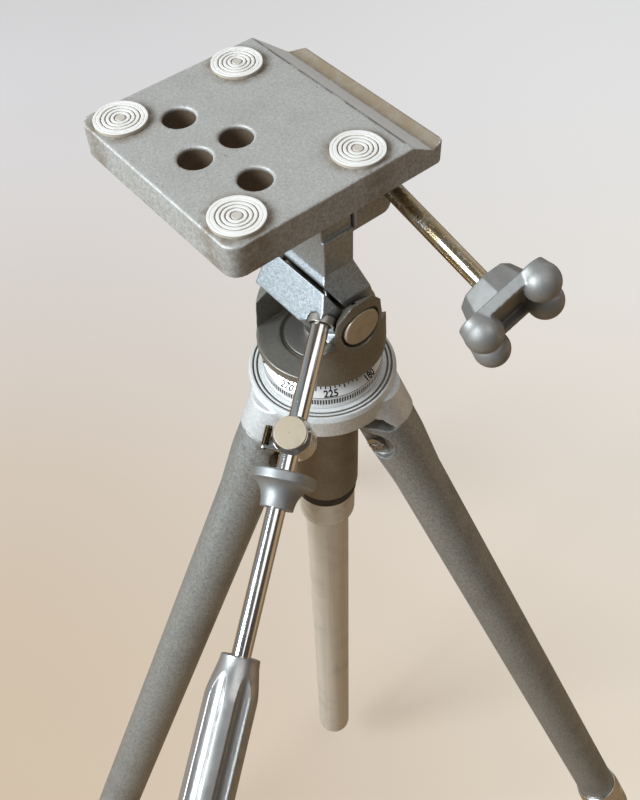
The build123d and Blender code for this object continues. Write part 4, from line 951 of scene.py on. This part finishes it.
class TRIPOD_OT_dial(bpy.types.Operator):
    """Make the pan dial with its knurling, numbers and ticks"""

    bl_idname = "tripod.dial"
    bl_label = "Pan dial"

    ZERO_AZIMUTH = 194
    NUMBER_STEP = 45
    NUMBER_PLACE = 2.15 * MM
    BEVEL = 6.6 * MM
    BEVEL_RUN = 6.8 * MM
    BAND = 6.8 * MM
    BOLT = 5 * MM
    SPIGOT = 10.5 * MM
    KNURL_TOP = 0.7 * MM
    KNURL_FOOT = 4.3 * MM
    KNURL_RAMP = 0.2 * MM
    TOOTH_POINTS = 6
    TOOTH_STEEPNESS = 2.5
    DIGIT_RISE = 0.05 * MM
    DIGIT_SINK = 0.02 * MM
    TICK_FEET = (3.7 * MM, 4.6 * MM)
    TICK_TOP = 6.8 * MM
    TICK_HALF = 0.28 * MM

    def execute(self, context):
        paint = colours()
        size = sizes()
        low, self.top, self.radius = PAN.reach("pan_dial")
        self.band_top = self.top - self.BEVEL
        make("pan_dial_body", self.body(size, low), self.finish(paint), "pan_dial")
        ink = moulding("dial ink", paint.black, paint.black, 0.6, gloss=0.05)
        add_on("pan_dial_marks", self.ticks(size), ink, "pan_dial")
        for number in range(0, 360, self.NUMBER_STEP):
            self.number(number, size, ink)
        return {"FINISHED"}

    def finish(self, paint):
        """Bright turned metal, black in the knurling, with a fine line above it, and painted shade in its
        corners.
        """
        made = Finish("dial metal", Metallic=0.3)
        up = made.axis("Z")
        rings = made.lathe_rings(PAN, 0.12 * MM)
        smudges = made.patches(6 * MM, 0.45, 0.75, detail=5)
        low = made.band(up, self.band_top - 0.3 * MM, self.band_top - 0.5 * MM)
        deep = made.band(made.from_line(PAN), self.radius - 0.12 * MM, self.radius - 0.3 * MM) * low
        line = made.near(up, self.band_top + 0.25 * MM, 0.16 * MM, 0.1 * MM)
        shade = made.mix(rings * 0.12 + smudges * 0.1, paint.dial, paint.dirt_and_shade)
        # Black in the knurling and on the line, and painted shade in the corners in black.
        shade = made.mix(deep * 0.95 | line * 0.8 | made.hollow_shade(3 * MM, 0.4) * 0.6, shade, paint.black)
        rough = 0.24 + 0.14 * rings + 0.12 * smudges + 0.3 * deep
        return made.done(shade, rough, rings, 0.01 * MM)

    def body(self, size, low):
        """Turned dial whose band is cut by teeth: r = R - depth * slot(a) on the knurled stretch,
        where slot(a) is a softened square wave."""
        bolt, spigot = self.BOLT, self.SPIGOT
        bottom = self.band_top - self.BAND
        knurl_top, knurl_foot = self.band_top - self.KNURL_TOP, self.band_top - self.KNURL_FOOT
        outline = [
            (bolt, low), (spigot, low), (spigot, bottom), (self.radius, bottom), (self.radius, knurl_foot),
            (self.radius, knurl_top), (self.radius, self.band_top), (self.radius - self.BEVEL_RUN, self.top),
            (bolt, self.top),
        ]
        radius, place = eased(outline, 0.3 * MM, closed=True).T
        a = angles(size.knurl_teeth * self.TOOTH_POINTS)[:, None]
        ramp = self.KNURL_RAMP
        window = np.clip((place - knurl_foot) / ramp, 0, 1) * np.clip((knurl_top - place) / ramp, 0, 1)
        slot = 0.5 + 0.5 * np.tanh(self.TOOTH_STEEPNESS * np.cos(size.knurl_teeth * a))
        cut = radius - size.knurl_depth * slot * window * (radius > spigot + MM)
        return shell(PAN.at(cut * np.cos(a), cut * np.sin(a), place), wrap_columns=True)

    def on_bevel(self, azimuth, across, up, out):
        """Points on the bevel: across goes round it, up its slope from the band, and out square to it."""
        slope = np.hypot(self.BEVEL, self.BEVEL_RUN)
        rise, run = self.BEVEL / slope, self.BEVEL_RUN / slope
        radius = self.radius - up * run + out * rise
        a = azimuth + across / radius
        return PAN.at(radius * np.cos(a), radius * np.sin(a), self.band_top + up * rise + out * run)

    def ticks(self, size):
        """Ticks near the yoke, longer at every third: thin bars with closed ends, laid on the bevel."""
        degree = np.arange(0, 360, size.tick_step)
        long = degree % (3 * size.tick_step) == 0
        foot = np.where(long, *self.TICK_FEET)
        top = np.full_like(foot, self.TICK_TOP)
        half = self.TICK_HALF
        sink, rise = -0.05 * MM, 0.03 * MM
        azimuth = np.radians(self.ZERO_AZIMUTH - degree)[:, None, None]
        across = np.array([(-half, half, half, -half)] * 2)[None]
        up = np.stack((foot, foot, top, top), -1)[:, None]
        out = np.array([[sink] * 4, [rise] * 4])[None]
        bars = self.on_bevel(azimuth, across, up, out).reshape(-1, 3)
        quads = np.array(((0, 1, 2, 3), (4, 5, 6, 7), (0, 1, 5, 4), (1, 2, 6, 5), (2, 3, 7, 6), (3, 0, 4, 7)))
        start = 8 * np.arange(len(degree))[:, None, None]
        return bars, (quads + start).reshape(-1, 4)

    def number(self, number, size, ink):
        """One number, a thin solid bent onto the bevel with its foot towards the knurling."""
        curve = bpy.data.curves.new("number", "FONT")
        curve.body = str(number)
        curve.size = size.digit_height
        curve.offset = size.digit_weight
        curve.align_x = "CENTER"
        curve.align_y = "CENTER"
        curve.extrude = self.DIGIT_RISE
        curve.resolution_u = 3
        blank = bpy.data.objects.new("blank", curve)
        bpy.context.scene.collection.objects.link(blank)
        mesh = bpy.data.meshes.new_from_object(blank.evaluated_get(bpy.context.evaluated_depsgraph_get()))
        bpy.data.objects.remove(blank)
        bpy.data.curves.remove(curve)
        flat = np.empty(3 * len(mesh.vertices))
        mesh.vertices.foreach_get("co", flat)
        x, y, z = flat.reshape(-1, 3).T
        azimuth = radians(self.ZERO_AZIMUTH - number)
        bent = self.on_bevel(azimuth, x, y + self.NUMBER_PLACE, z - self.DIGIT_SINK)
        mesh.vertices.foreach_set("co", bent.ravel())
        weld(mesh)
        show(mesh, f"pan_dial_number_{number}", ink, "pan_dial")


class TRIPOD_OT_yoke(bpy.types.Operator):
    """Make the yoke, the tilt shaft and what holds the yoke on the dial"""

    bl_idname = "tripod.yoke"
    bl_label = "Yoke"

    SHAFT = 6 * MM
    TILT_HEAD = 3 * MM
    BOLT = 5 * MM
    BOLT_HEAD = 4 * MM
    SOCKET = 3 * MM
    SOCKET_DEPTH = 2.5 * MM

    def execute(self, context):
        paint = colours()
        enamel = hammertone("yoke enamel", paint.yoke_dark, paint.yoke_light, paint.dirt_and_shade, 0.6, 0.3, 0.02 * MM)
        casting("yoke", "yoke_casting", enamel, sizes().cast_grain * 0.9, 3)
        low, high, radius = TILT.reach("tilt_shaft")
        head = high - self.TILT_HEAD
        outline = [(0, low), (self.SHAFT, low), (self.SHAFT, head), (radius, head), (radius, high), (0, high)]
        satin = turned_metal("tilt head", paint.tilt_head, paint.dirt_and_shade, TILT, 0.36, 0.5)
        ease = np.array((0, 0.5, 0.3, 0.4, 0.9, 0)) * MM
        make("tilt_shaft_bolt", solid(TILT, outline, ease), satin, "tilt_shaft")
        washer = turned_metal("pan washer", paint.steel, paint.dirt_and_shade, PAN, 0.3, 0.85)
        low, high, radius = PAN.reach("pan_washer")
        make("pan_ring", tube(PAN, low, high, radius, radius - self.BOLT), washer, "pan_washer")
        low, high, radius = PAN.reach("pan_bolt")
        head, floor = high - self.BOLT_HEAD, high - self.SOCKET_DEPTH
        outline = [
            (0, low), (self.BOLT, low), (self.BOLT, head), (radius, head), (radius, high),
            (self.SOCKET, high), (self.SOCKET, floor), (0, floor),
        ]
        ease = np.array((0, 0.4, 0.2, 0.3, 0.6, 0.3, 0.2, 0)) * MM
        make("pan_bolt_head", solid(PAN, outline, ease), washer, "pan_bolt")
        coat(plated_metal("set screw", paint.black, paint.rust_and_shade, 0.4), "yoke_set_screw")
        return {"FINISHED"}


class TRIPOD_OT_block(bpy.types.Operator):
    """Make the tilt block and the side-tilt shaft with its washer and screw"""

    bl_idname = "tripod.block"
    bl_label = "Tilt block"

    def execute(self, context):
        paint = colours()
        enamel = hammertone("head enamel", paint.enamel_dark, paint.enamel_light, paint.dirt_and_shade, 0.75)
        casting("tilt_block", "tilt_block_casting", enamel, sizes().cast_grain * 0.9, 3)
        steel = plated_metal("side tilt steel", paint.steel, paint.rust_and_shade, 0.2)
        machined("side_tilt_screw", "side_tilt_screw_head", steel, 0.3 * MM)
        machined("side_tilt_washer", "side_tilt_spacer", steel, 0.1 * MM)
        coat(steel, "side_tilt_shaft")
        return {"FINISHED"}


class TRIPOD_OT_plate(bpy.types.Operator):
    """Make the camera plate and its ribbed pads"""

    bl_idname = "tripod.plate"
    bl_label = "Camera plate"

    DISC = 1.85 * MM
    RINGS = 3
    RING_WIDTH = 1.1 * MM
    GROOVE = 0.62 * MM
    BASE = 0.9 * MM
    RIB = 0.7 * MM
    GROOVE_SLOPE = 0.12 * MM
    FINE_GROOVE = 9.0 * MM
    FINE_HALF = 0.15 * MM
    FINE_DEPTH = 0.2 * MM
    EASE = 0.16 * MM

    def execute(self, context):
        paint = colours()
        casting("camera_plate", "camera_plate_casting", plate_metal(paint), sizes().cast_grain * 1.15, 3)
        pads = [self.pad(number, *place) for number, place in enumerate(pad_places())]
        make("plate_pad_set", joined(*pads), self.rubber(paint), "plate_pads")
        return {"FINISHED"}

    def pad(self, number, centre, radius):
        """Moulded pad: an outline with a disc, rings and a band, carried round its middle. Its radius wavers,
        r = r0 * (1 + 0.006 sin(3 a + p) + 0.004 sin(8 a + 2 p)), where p differs from pad to pad."""
        top, floor = self.BASE + self.RIB, self.BASE
        outline = [(0, 0), (radius, 0), (radius, top)]
        fine, cut, slope = self.FINE_GROOVE, self.FINE_HALF, self.GROOVE_SLOPE
        outline += [(fine + cut, top), (fine, top - self.FINE_DEPTH), (fine - cut, top)]
        pitch = self.RING_WIDTH + self.GROOVE
        for start in self.DISC + pitch * np.arange(self.RINGS, -1, -1):
            outer = start + self.GROOVE
            outline += [(outer, top), (outer - slope, floor), (start + slope, floor), (start, top)]
        outline += [(0, top)]
        r, z = eased(outline, self.EASE).T
        a = angles(96)[:, None]
        phase = 1.7 * number
        waver = 1 + 0.006 * np.sin(3 * a + phase) + 0.004 * np.sin(8 * a + 2 * phase)
        line = Line(centre, UP, np.array((1.0, 0, 0)))
        return shell(line.at(r * waver * np.cos(a), r * waver * np.sin(a), z))

    def rubber(self, paint):
        """Off-white rubber, browner below the tops of its ribs and on each disc."""
        made = Finish("pad rubber")
        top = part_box("plate_pads")[1].z
        dirty = made.band(made.axis("Z"), top - 0.15 * MM, top - 0.5 * MM) * 0.8
        for centre, _ in pad_places():
            dirty = dirty | made.band(made.distance(centre, (1, 1, 0)), 2.0 * MM, 1.7 * MM) * 0.55
        stains = made.patches(5 * MM, 0.5, 0.8, detail=5)
        fine = made.noise(0.4 * MM)
        brown = tuple(0.5 * (first + second) for first, second in zip(paint.plate_dirt_and_shade, paint.cap))
        shade = made.mix(stains * 0.15, paint.pads, brown)
        shade = made.mix(dirty, shade, brown)
        return made.done(shade, 0.5 + 0.15 * fine, fine, 0.03 * MM)


class TRIPOD_OT_side_lock(bpy.types.Operator):
    """Make the side lock's rod and knob"""

    bl_idname = "tripod.side_lock"
    bl_label = "Side lock"

    ROD = 4 * MM

    def execute(self, context):
        paint = colours()
        make("side_lock_spindle", self.spindle(), worn_rod(paint), "side_lock_rod")
        metal = satin_casting("knob casting", paint.knob, paint.dirt_and_shade, 0.65, 0.4)
        casting("side_lock_knob", "side_lock_knob_casting", metal, sizes().cast_grain * 0.8, 6)
        return {"FINISHED"}

    def spindle(self):
        """Turned rod with a flange, whose ends are found from the CAD piece's wide points."""
        low, high, radius = SIDE_LOCK.reach("side_lock_rod")
        rod = self.ROD
        offset = corners("side_lock_rod") - SIDE_LOCK.origin
        along = offset @ SIDE_LOCK.along
        wide = np.linalg.norm(offset - np.outer(along, SIDE_LOCK.along), axis=1) > rod + MM
        near, far = along[wide].min(), along[wide].max()
        outline = [
            (0, low), (rod, low), (rod, near), (radius, near),
            (radius, far), (rod, far), (rod, high), (0, high),
        ]
        return solid(SIDE_LOCK, outline, np.array((0, 0.5, 0.2, 0.4, 0.4, 0.2, 0.5, 0)) * MM)


class TRIPOD_OT_handle(bpy.types.Operator):
    """Make the handle: its rod, its bush and its fluted grip"""

    bl_idname = "tripod.handle"
    bl_label = "Handle"

    THREAD = 3 * MM
    SEAT = -3 * MM
    TOP_RADIUS = 8 * MM
    SWELL = 17 * MM
    END_ROUND = 4 * MM
    FLUTES = 6
    FLUTE_TURN = radians(-8.5)
    FLUTE_RADIUS = 4 * MM
    FLUTE_DEPTH = 2 * MM
    FLUTE_END = 10 * MM
    SOFT = 0.1 * MM
    RIM = 0.6 * MM
    ROD_DEPTH = 10 * MM
    BUSH_RIM = 1.1 * MM
    BUSH_DISH = 0.8 * MM
    BUSH_FIT = 0.5 * MM

    def execute(self, context):
        paint = colours()
        chrome = plated_metal("handle chrome", paint.chrome, paint.rust_and_shade, 0.02)
        low, high, rod = HANDLE.reach("handle_rod")
        thread, seat = self.THREAD, self.SEAT
        outline = [(0, low), (thread, low), (thread, seat), (rod, seat), (rod, high), (0, high)]
        ease = np.array((0, 0.4, 0.2, 0.4, 0.5, 0)) * MM
        make("handle_bar", solid(HANDLE, outline, ease), chrome, "handle_rod")
        dark = turned_metal("bush steel", paint.steel, paint.rust_and_shade, HANDLE, 0.3, 0.85)
        low, high, bush = HANDLE.reach("handle_bush")
        rim, seat, dish = bush - self.BUSH_RIM, rod + self.BUSH_FIT, high - self.BUSH_DISH
        outline = [(rod, low), (bush, low), (bush, high), (rim, high), (seat, dish), (rod, dish)]
        make("handle_collar", ring(HANDLE, outline, 0.2 * MM), dark, "handle_bush")
        satin = satin_casting("grip metal", paint.grip, paint.dirt_and_shade, 0.85, 0.27)
        make("handle_fluted_grip", self.grip(rod), satin, "handle_grip")
        return {"FINISHED"}

    def grip(self, rod):
        """Fluted grip. The body goes from the top radius to the full one along 3 t^2 - 2 t^3 and rounds in at
        the end. Each flute is a round groove of radius f about a line at distance c: r = c cos a -
        sqrt(f^2 - c^2 sin^2 a), where f runs out at its end. The surface is the soft least of body and flute,
        -s log(exp(-body / s) + exp(-flute / s)). Its rings lie closer at the swell and at the end."""
        low, high, full = HANDLE.reach("handle_grip")
        place = np.concatenate((
            np.linspace(low, low + 40 * MM, 90),
            np.linspace(low + 42 * MM, high - 12 * MM, 30),
            np.linspace(high - 11 * MM, high - 4.2 * MM, 16),
            high - self.END_ROUND + self.END_ROUND * np.sin(np.linspace(0, pi / 2, 12)),
        ))
        t = np.clip((place - low) / self.SWELL, 0, 1)
        body = self.TOP_RADIUS + (full - self.TOP_RADIUS) * t ** 2 * (3 - 2 * t)
        past = np.clip(place - (high - self.END_ROUND), 0, self.END_ROUND)
        body = body - self.END_ROUND + np.sqrt(self.END_ROUND ** 2 - past ** 2)
        a = angles(self.FLUTES * 48)[:, None]
        step = 2 * pi / self.FLUTES
        off = np.mod(a + step / 2, step) - step / 2
        centre = full - self.FLUTE_DEPTH + self.FLUTE_RADIUS
        over = np.clip(place - (high - self.FLUTE_END), 0, None)
        room = self.FLUTE_RADIUS ** 2 - over ** 2 - (centre * np.sin(off)) ** 2
        flute = np.where(room > 0, centre * np.cos(off) - np.sqrt(np.clip(room, 0, None)), 2 * full)
        least = np.minimum(body, flute)
        spread = np.exp((least - body) / self.SOFT) + np.exp((least - flute) / self.SOFT)
        radius = least - self.SOFT * np.log(spread)
        rim = self.RIM
        ones = np.ones_like(a)
        start = np.array((0, rod, rod, self.TOP_RADIUS - rim)) * ones
        radius = np.hstack((start, radius, 0 * ones))
        seat = low + self.ROD_DEPTH
        place = np.concatenate(((seat, seat, low, low), np.maximum(place, low + 0.4 * rim), (high,)))
        turn = a + self.FLUTE_TURN
        return shell(HANDLE.at(radius * np.cos(turn), radius * np.sin(turn), place))


class TRIPOD_OT_release(bpy.types.Operator):
    """Make the cable-release holder on the handle: clamp, cap, nipple and trigger"""

    bl_idname = "tripod.release"
    bl_label = "Cable-release holder"

    BARREL_EDGE = 1.5 * MM
    BARREL_DRAW = 1.6 * MM
    CAP_HEIGHT = 3.5 * MM
    CAP_GAP = 0.3 * MM
    CAP_MARK = 0.35 * MM
    WAIST_CUT = 0.7 * MM
    WAIST_TOP = 1.0 * MM
    CAP_FOOT = 1.4 * MM
    SCREW = 2.5 * MM
    SCREW_SHOWN = 1.5 * MM
    EYE_RADIUS = 2.1 * MM
    EYE_PLACE = 5.9 * MM
    EYE_LENGTH = 1.3 * MM
    NIPPLE_BORE = 0.8 * MM
    THREAD_DEPTH = 0.35 * MM
    TRIGGER_BORE = 4.05 * MM
    TRIGGER_NECK = 7 * MM
    TRIGGER_RIM = 4.5 * MM

    def execute(self, context):
        paint = colours()
        chrome = plated_metal("clamp chrome", paint.chrome, paint.rust_and_shade, 0.03)
        make("release_clamp_barrel", joined(self.barrel(), self.eye()), chrome, "release_clamp")
        satin = turned_metal("clamp cap", paint.cap, paint.dirt_and_shade, CLAMP, 0.36, 0.25)
        make("release_clamp_cap", self.cap(), satin, "release_clamp_screw")
        dark = plated_metal("nipple steel", paint.dirt_and_shade, paint.rust_and_shade, 0.3)
        make("release_threaded_nipple", self.nipple(sizes()), dark, "release_nipple")
        aluminium = turned_metal("trigger metal", paint.aluminium, paint.dirt_and_shade, HANDLE, 0.4, 0.8)
        make("release_finger_trigger", self.trigger(), aluminium, "release_trigger")
        coat(dark, "trigger_set_screw")
        return {"FINISHED"}

    def barrel(self):
        """Turned barrel of the clamp, drawn in towards the cap and rounded below."""
        clamp = corners("release_clamp") - CLAMP.origin
        along = clamp @ CLAMP.along
        low, high = along.min(), along.max()
        cap = CLAMP.reach("release_clamp_screw")[2]
        radius = cap + self.BARREL_EDGE
        draw = high - self.BARREL_DRAW
        outline = [(0, low), (radius, low), (radius, draw), (cap - self.CAP_GAP, high), (0, high)]
        return solid(CLAMP, outline, np.array((0, 1.0, 0.5, 0.3, 0)) * MM)

    def cap(self):
        """Flat cap with a centre mark, on a neck that leaves a dark gap above the barrel."""
        _, high, radius = CLAMP.reach("release_clamp_screw")
        low = high - self.CAP_HEIGHT
        waist, mark = radius - self.WAIST_CUT, self.CAP_MARK
        start = low - self.SCREW_SHOWN
        outline = [
            (0, start), (self.SCREW, start), (self.SCREW, low), (waist, low), (waist, low + self.WAIST_TOP),
            (radius, low + self.CAP_FOOT), (radius, high), (mark, high), (0, high - mark),
        ]
        return solid(CLAMP, outline, np.array((0, 0.2, 0.2, 0.2, 0.2, 0.3, 0.35, 0.1, 0)) * MM)

    def nipple_line(self):
        """Line of the nipple, beside the handle's rod."""
        low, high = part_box("release_nipple")
        return Line(np.array((low + high) / 2), HANDLE.along, HANDLE.across)

    def eye(self):
        """Thin link from the clamp to the nipple: a stadium carried along the handle."""
        offset = self.nipple_line().origin - HANDLE.origin
        centre, side = offset @ HANDLE.across, offset @ HANDLE.beside
        a = np.linspace(-pi / 2, pi / 2, 17)
        radius = self.EYE_RADIUS
        end = np.column_stack((centre + radius * np.cos(a), side + radius * np.sin(a)))
        outline = np.vstack((end, [(0, side + radius), (0, side - radius)]))
        place = (CLAMP.origin - HANDLE.origin) @ HANDLE.along + self.EYE_PLACE
        return prism(HANDLE, outline, place, place + self.EYE_LENGTH, 0.3 * MM)

    def nipple(self, size):
        """Threaded tube: r = R - depth * ramp(z / pitch - a / 2 pi) outside, a plain bore inside."""
        line = self.nipple_line()
        low, high, radius = line.reach("release_nipple")
        a = angles(48)[:, None]
        place = np.linspace(low, high, 200)
        wave = np.abs(np.mod(place / size.thread_pitch - a / (2 * pi), 1) - 0.5) * 2
        ends = np.clip((place - low) / MM, 0, 1) * np.clip((high - place) / MM, 0, 1)
        outer = radius - self.THREAD_DEPTH * (wave * ends + 1 - ends)
        bore = self.NIPPLE_BORE * np.ones((len(a), 2))
        radius = np.hstack((outer, bore))
        place = np.append(place, (high, low))
        return shell(line.at(radius * np.cos(a), radius * np.sin(a), place), wrap_columns=True)

    def trigger(self):
        """Finger trigger: a rim, then a flare that sweeps in as a quarter of an ellipse."""
        low, high, rim = HANDLE.reach("release_trigger")
        bore, neck = self.TRIGGER_BORE, self.TRIGGER_NECK
        rim_end = low + self.TRIGGER_RIM
        a = np.linspace(3 * pi / 2, pi, 24)
        flare = np.column_stack((rim + (rim - neck) * np.cos(a), high + (high - rim_end) * np.sin(a)))
        flare = flare[flare[:, 0] < rim - 0.8 * MM]
        start = [(bore, low), (rim - 0.5 * MM, low), (rim, low + 0.6 * MM), (rim, rim_end - 0.3 * MM)]
        edge = eased(start + [tuple(flare[0])], 0.35 * MM)
        outline = np.vstack((edge[:-1], flare, [(neck - 0.4 * MM, high), (bore, high)]))
        return shell(turned(HANDLE, outline, 128), wrap_columns=True)


class TRIPOD_OT_stage(bpy.types.Operator):
    """Set the camera, the lights and the floor"""

    bl_idname = "tripod.stage"
    bl_label = "Stage"

    CAMERA_PLACE = (0.2371, -0.1886, 0.8806)
    HEADING = radians(51.84)
    DIP = radians(52.06)
    ROLL = -0.038
    LENS = 43.96
    AIM = Vector((0.0, 0.0, 0.5))
    AHEAD = Vector((-sin(HEADING), cos(HEADING), 0))
    RIGHT = Vector((cos(HEADING), sin(HEADING), 0))
    COOL = (0.86, 0.94, 1.0)
    WHITE = (0.97, 0.98, 1.0)
    AMBER = (1.0, 0.70, 0.40)
    SKY = (0.42, 0.47, 0.50)
    WALL = (0.90, 0.87, 0.83)
    DIM = (0.14, 0.12, 0.10)
    FLOOR_RADIUS = 4.0
    FLOOR_GLOW = 0.55
    ROOM_LIGHT = 0.55
    LIT_PAPER_WHITE = (1, 1, 1)

    def execute(self, context):
        scene = context.scene
        scene.view_settings.view_transform = "Standard"
        self.camera(scene)
        self.lamp("window", -1.2 * self.RIGHT - 0.55 * self.AHEAD, 0.85, 0.8, 36.0, self.COOL)
        self.lamp("ceiling", 0.5 * self.RIGHT - 0.4 * self.AHEAD, 1.5, 1.2, 6.5, self.WHITE)
        self.lamp("bounce", 1.3 * self.RIGHT, -0.15, 1.2, 1.6, self.AMBER)
        self.world(scene)
        self.floor()
        return {"FINISHED"}

    def camera(self, scene):
        """Camera that looks along a heading and a dip, rolled about its own line of sight."""
        forward = self.AHEAD * cos(self.DIP) + Vector((0, 0, -sin(self.DIP)))
        up = self.RIGHT.cross(forward)
        side = self.RIGHT * cos(self.ROLL) + up * sin(self.ROLL)
        top = up * cos(self.ROLL) - self.RIGHT * sin(self.ROLL)
        data = bpy.data.cameras.new("view")
        data.lens = self.LENS
        camera = bpy.data.objects.new("view", data)
        turn = Matrix((side, top, -forward)).transposed().to_4x4()
        camera.matrix_world = Matrix.Translation(self.CAMERA_PLACE) @ turn
        scene.collection.objects.link(camera)
        scene.camera = camera

    def lamp(self, name, aside, above, size, power, colour):
        """Square lamp that looks at the head from a place aside of it and above."""
        data = bpy.data.lights.new(name, "AREA")
        data.shape = "SQUARE"
        data.size = size
        data.energy = power
        data.color = colour
        lamp = bpy.data.objects.new(name, data)
        lamp.location = self.AIM + aside + Vector((0, 0, above))
        lamp.rotation_euler = (self.AIM - lamp.location).to_track_quat("-Z", "Y").to_euler()
        bpy.context.scene.collection.objects.link(lamp)

    def world(self, scene):
        """Room light: a bright wall ahead, cool on the window's side and dim amber on the others."""
        world = bpy.data.worlds.new("room")
        world.use_nodes = True
        room = Graph(world.node_tree)
        way = room.node("ShaderNodeTexCoord", output="Generated")
        side = room.band(room.vector("DOT_PRODUCT", way, self.RIGHT, "Value"), -0.8, 0.2)
        ahead = room.band(room.vector("DOT_PRODUCT", way, self.AHEAD, "Value"), 0.1, 0.7)
        colour = room.mix(ahead, room.mix(side, self.SKY, self.DIM), self.WALL)
        light = room.node("ShaderNodeBackground", values={"Color": colour, "Strength": self.ROOM_LIGHT})
        room.end("ShaderNodeOutputWorld", light)
        scene.world = world

    def floor(self):
        """Round pale floor under the feet."""
        radius = np.array((0.0, 0.6, 1.2, 2.0, self.FLOOR_RADIUS))
        points, quads = shell(turned(PAN, np.column_stack((radius, np.zeros_like(radius))), 64))
        mesh = bpy.data.meshes.new("floor")
        mesh.from_pydata(points.tolist(), [], quads.tolist())
        weld(mesh)
        mesh.materials.append(self.floor_finish(colours()))
        floor = bpy.data.objects.new("floor", mesh)
        bpy.context.scene.collection.objects.link(floor)

    def floor_finish(self, paint):
        """Paper, warm near the camera and whiter far off, with painted light that whitens it to the right.
        Part of what the camera sees of it
            glows evenly, and the rest takes light and shadow. The tripod gets darker amber back from it."""
        made = Finish("floor paper", Roughness=0.85)
        origin = (0, 0, 0)
        far = made.band(made.along(Line(origin, np.array(self.AHEAD), UP)), -0.1, 1.1)
        right = made.band(made.along(Line(origin, np.array(self.RIGHT), UP)), -0.4, 0.6)
        cloud = made.noise(0.5)
        shade = made.mix(far + (cloud - 0.5) * 0.1, paint.floor_near, paint.floor_far)
        # Painted light: the floor is whitened towards the right.
        shade = made.mix(right * 0.8, shade, made.mix(far, paint.floor_right_light, self.LIT_PAPER_WHITE))
        seen = made.node("ShaderNodeLightPath", output="Is Camera Ray")
        glow = made.node("ShaderNodeEmission", values={"Color": shade})
        made.feed(made.surface.socket.node, {"Base Color": made.mix(seen, paint.floor_lit, shade)})
        both = {0: seen * self.FLOOR_GLOW, 1: made.surface, 2: glow}
        made.end("ShaderNodeOutputMaterial", made.node("ShaderNodeMixShader", values=both))
        return made.material


class TRIPOD_PT_pieces(bpy.types.Panel):
    """Panel with the tripod's pieces and settings"""

    bl_label = "Tripod"
    bl_idname = "TRIPOD_PT_pieces"
    bl_space_type = "VIEW_3D"
    bl_region_type = "UI"
    bl_category = "Tripod"

    def draw(self, context):
        for operator in PIECES:
            self.layout.operator(operator.bl_idname)
        for group in (context.scene.tripod_sizes, context.scene.tripod_colours):
            for name in group.__annotations__:
                self.layout.prop(group, name)


PIECES = (
    TRIPOD_OT_stage,
    TRIPOD_OT_legs,
    TRIPOD_OT_shoulder,
    TRIPOD_OT_column,
    TRIPOD_OT_dial,
    TRIPOD_OT_yoke,
    TRIPOD_OT_block,
    TRIPOD_OT_plate,
    TRIPOD_OT_side_lock,
    TRIPOD_OT_handle,
    TRIPOD_OT_release,
)
CLASSES = (TripodSizes, TripodColours, *PIECES, TRIPOD_PT_pieces)


def register():
    for kind in CLASSES:
        bpy.utils.register_class(kind)
    bpy.types.Scene.tripod_sizes = PointerProperty(type=TripodSizes)
    bpy.types.Scene.tripod_colours = PointerProperty(type=TripodColours)


def unregister():
    del bpy.types.Scene.tripod_colours
    del bpy.types.Scene.tripod_sizes
    for kind in reversed(CLASSES):
        bpy.utils.unregister_class(kind)


def main():
    register()
    for operator in PIECES:
        group, name = operator.bl_idname.split(".")
        getattr(getattr(bpy.ops, group), name)()


if __name__ == "__main__":
    main()
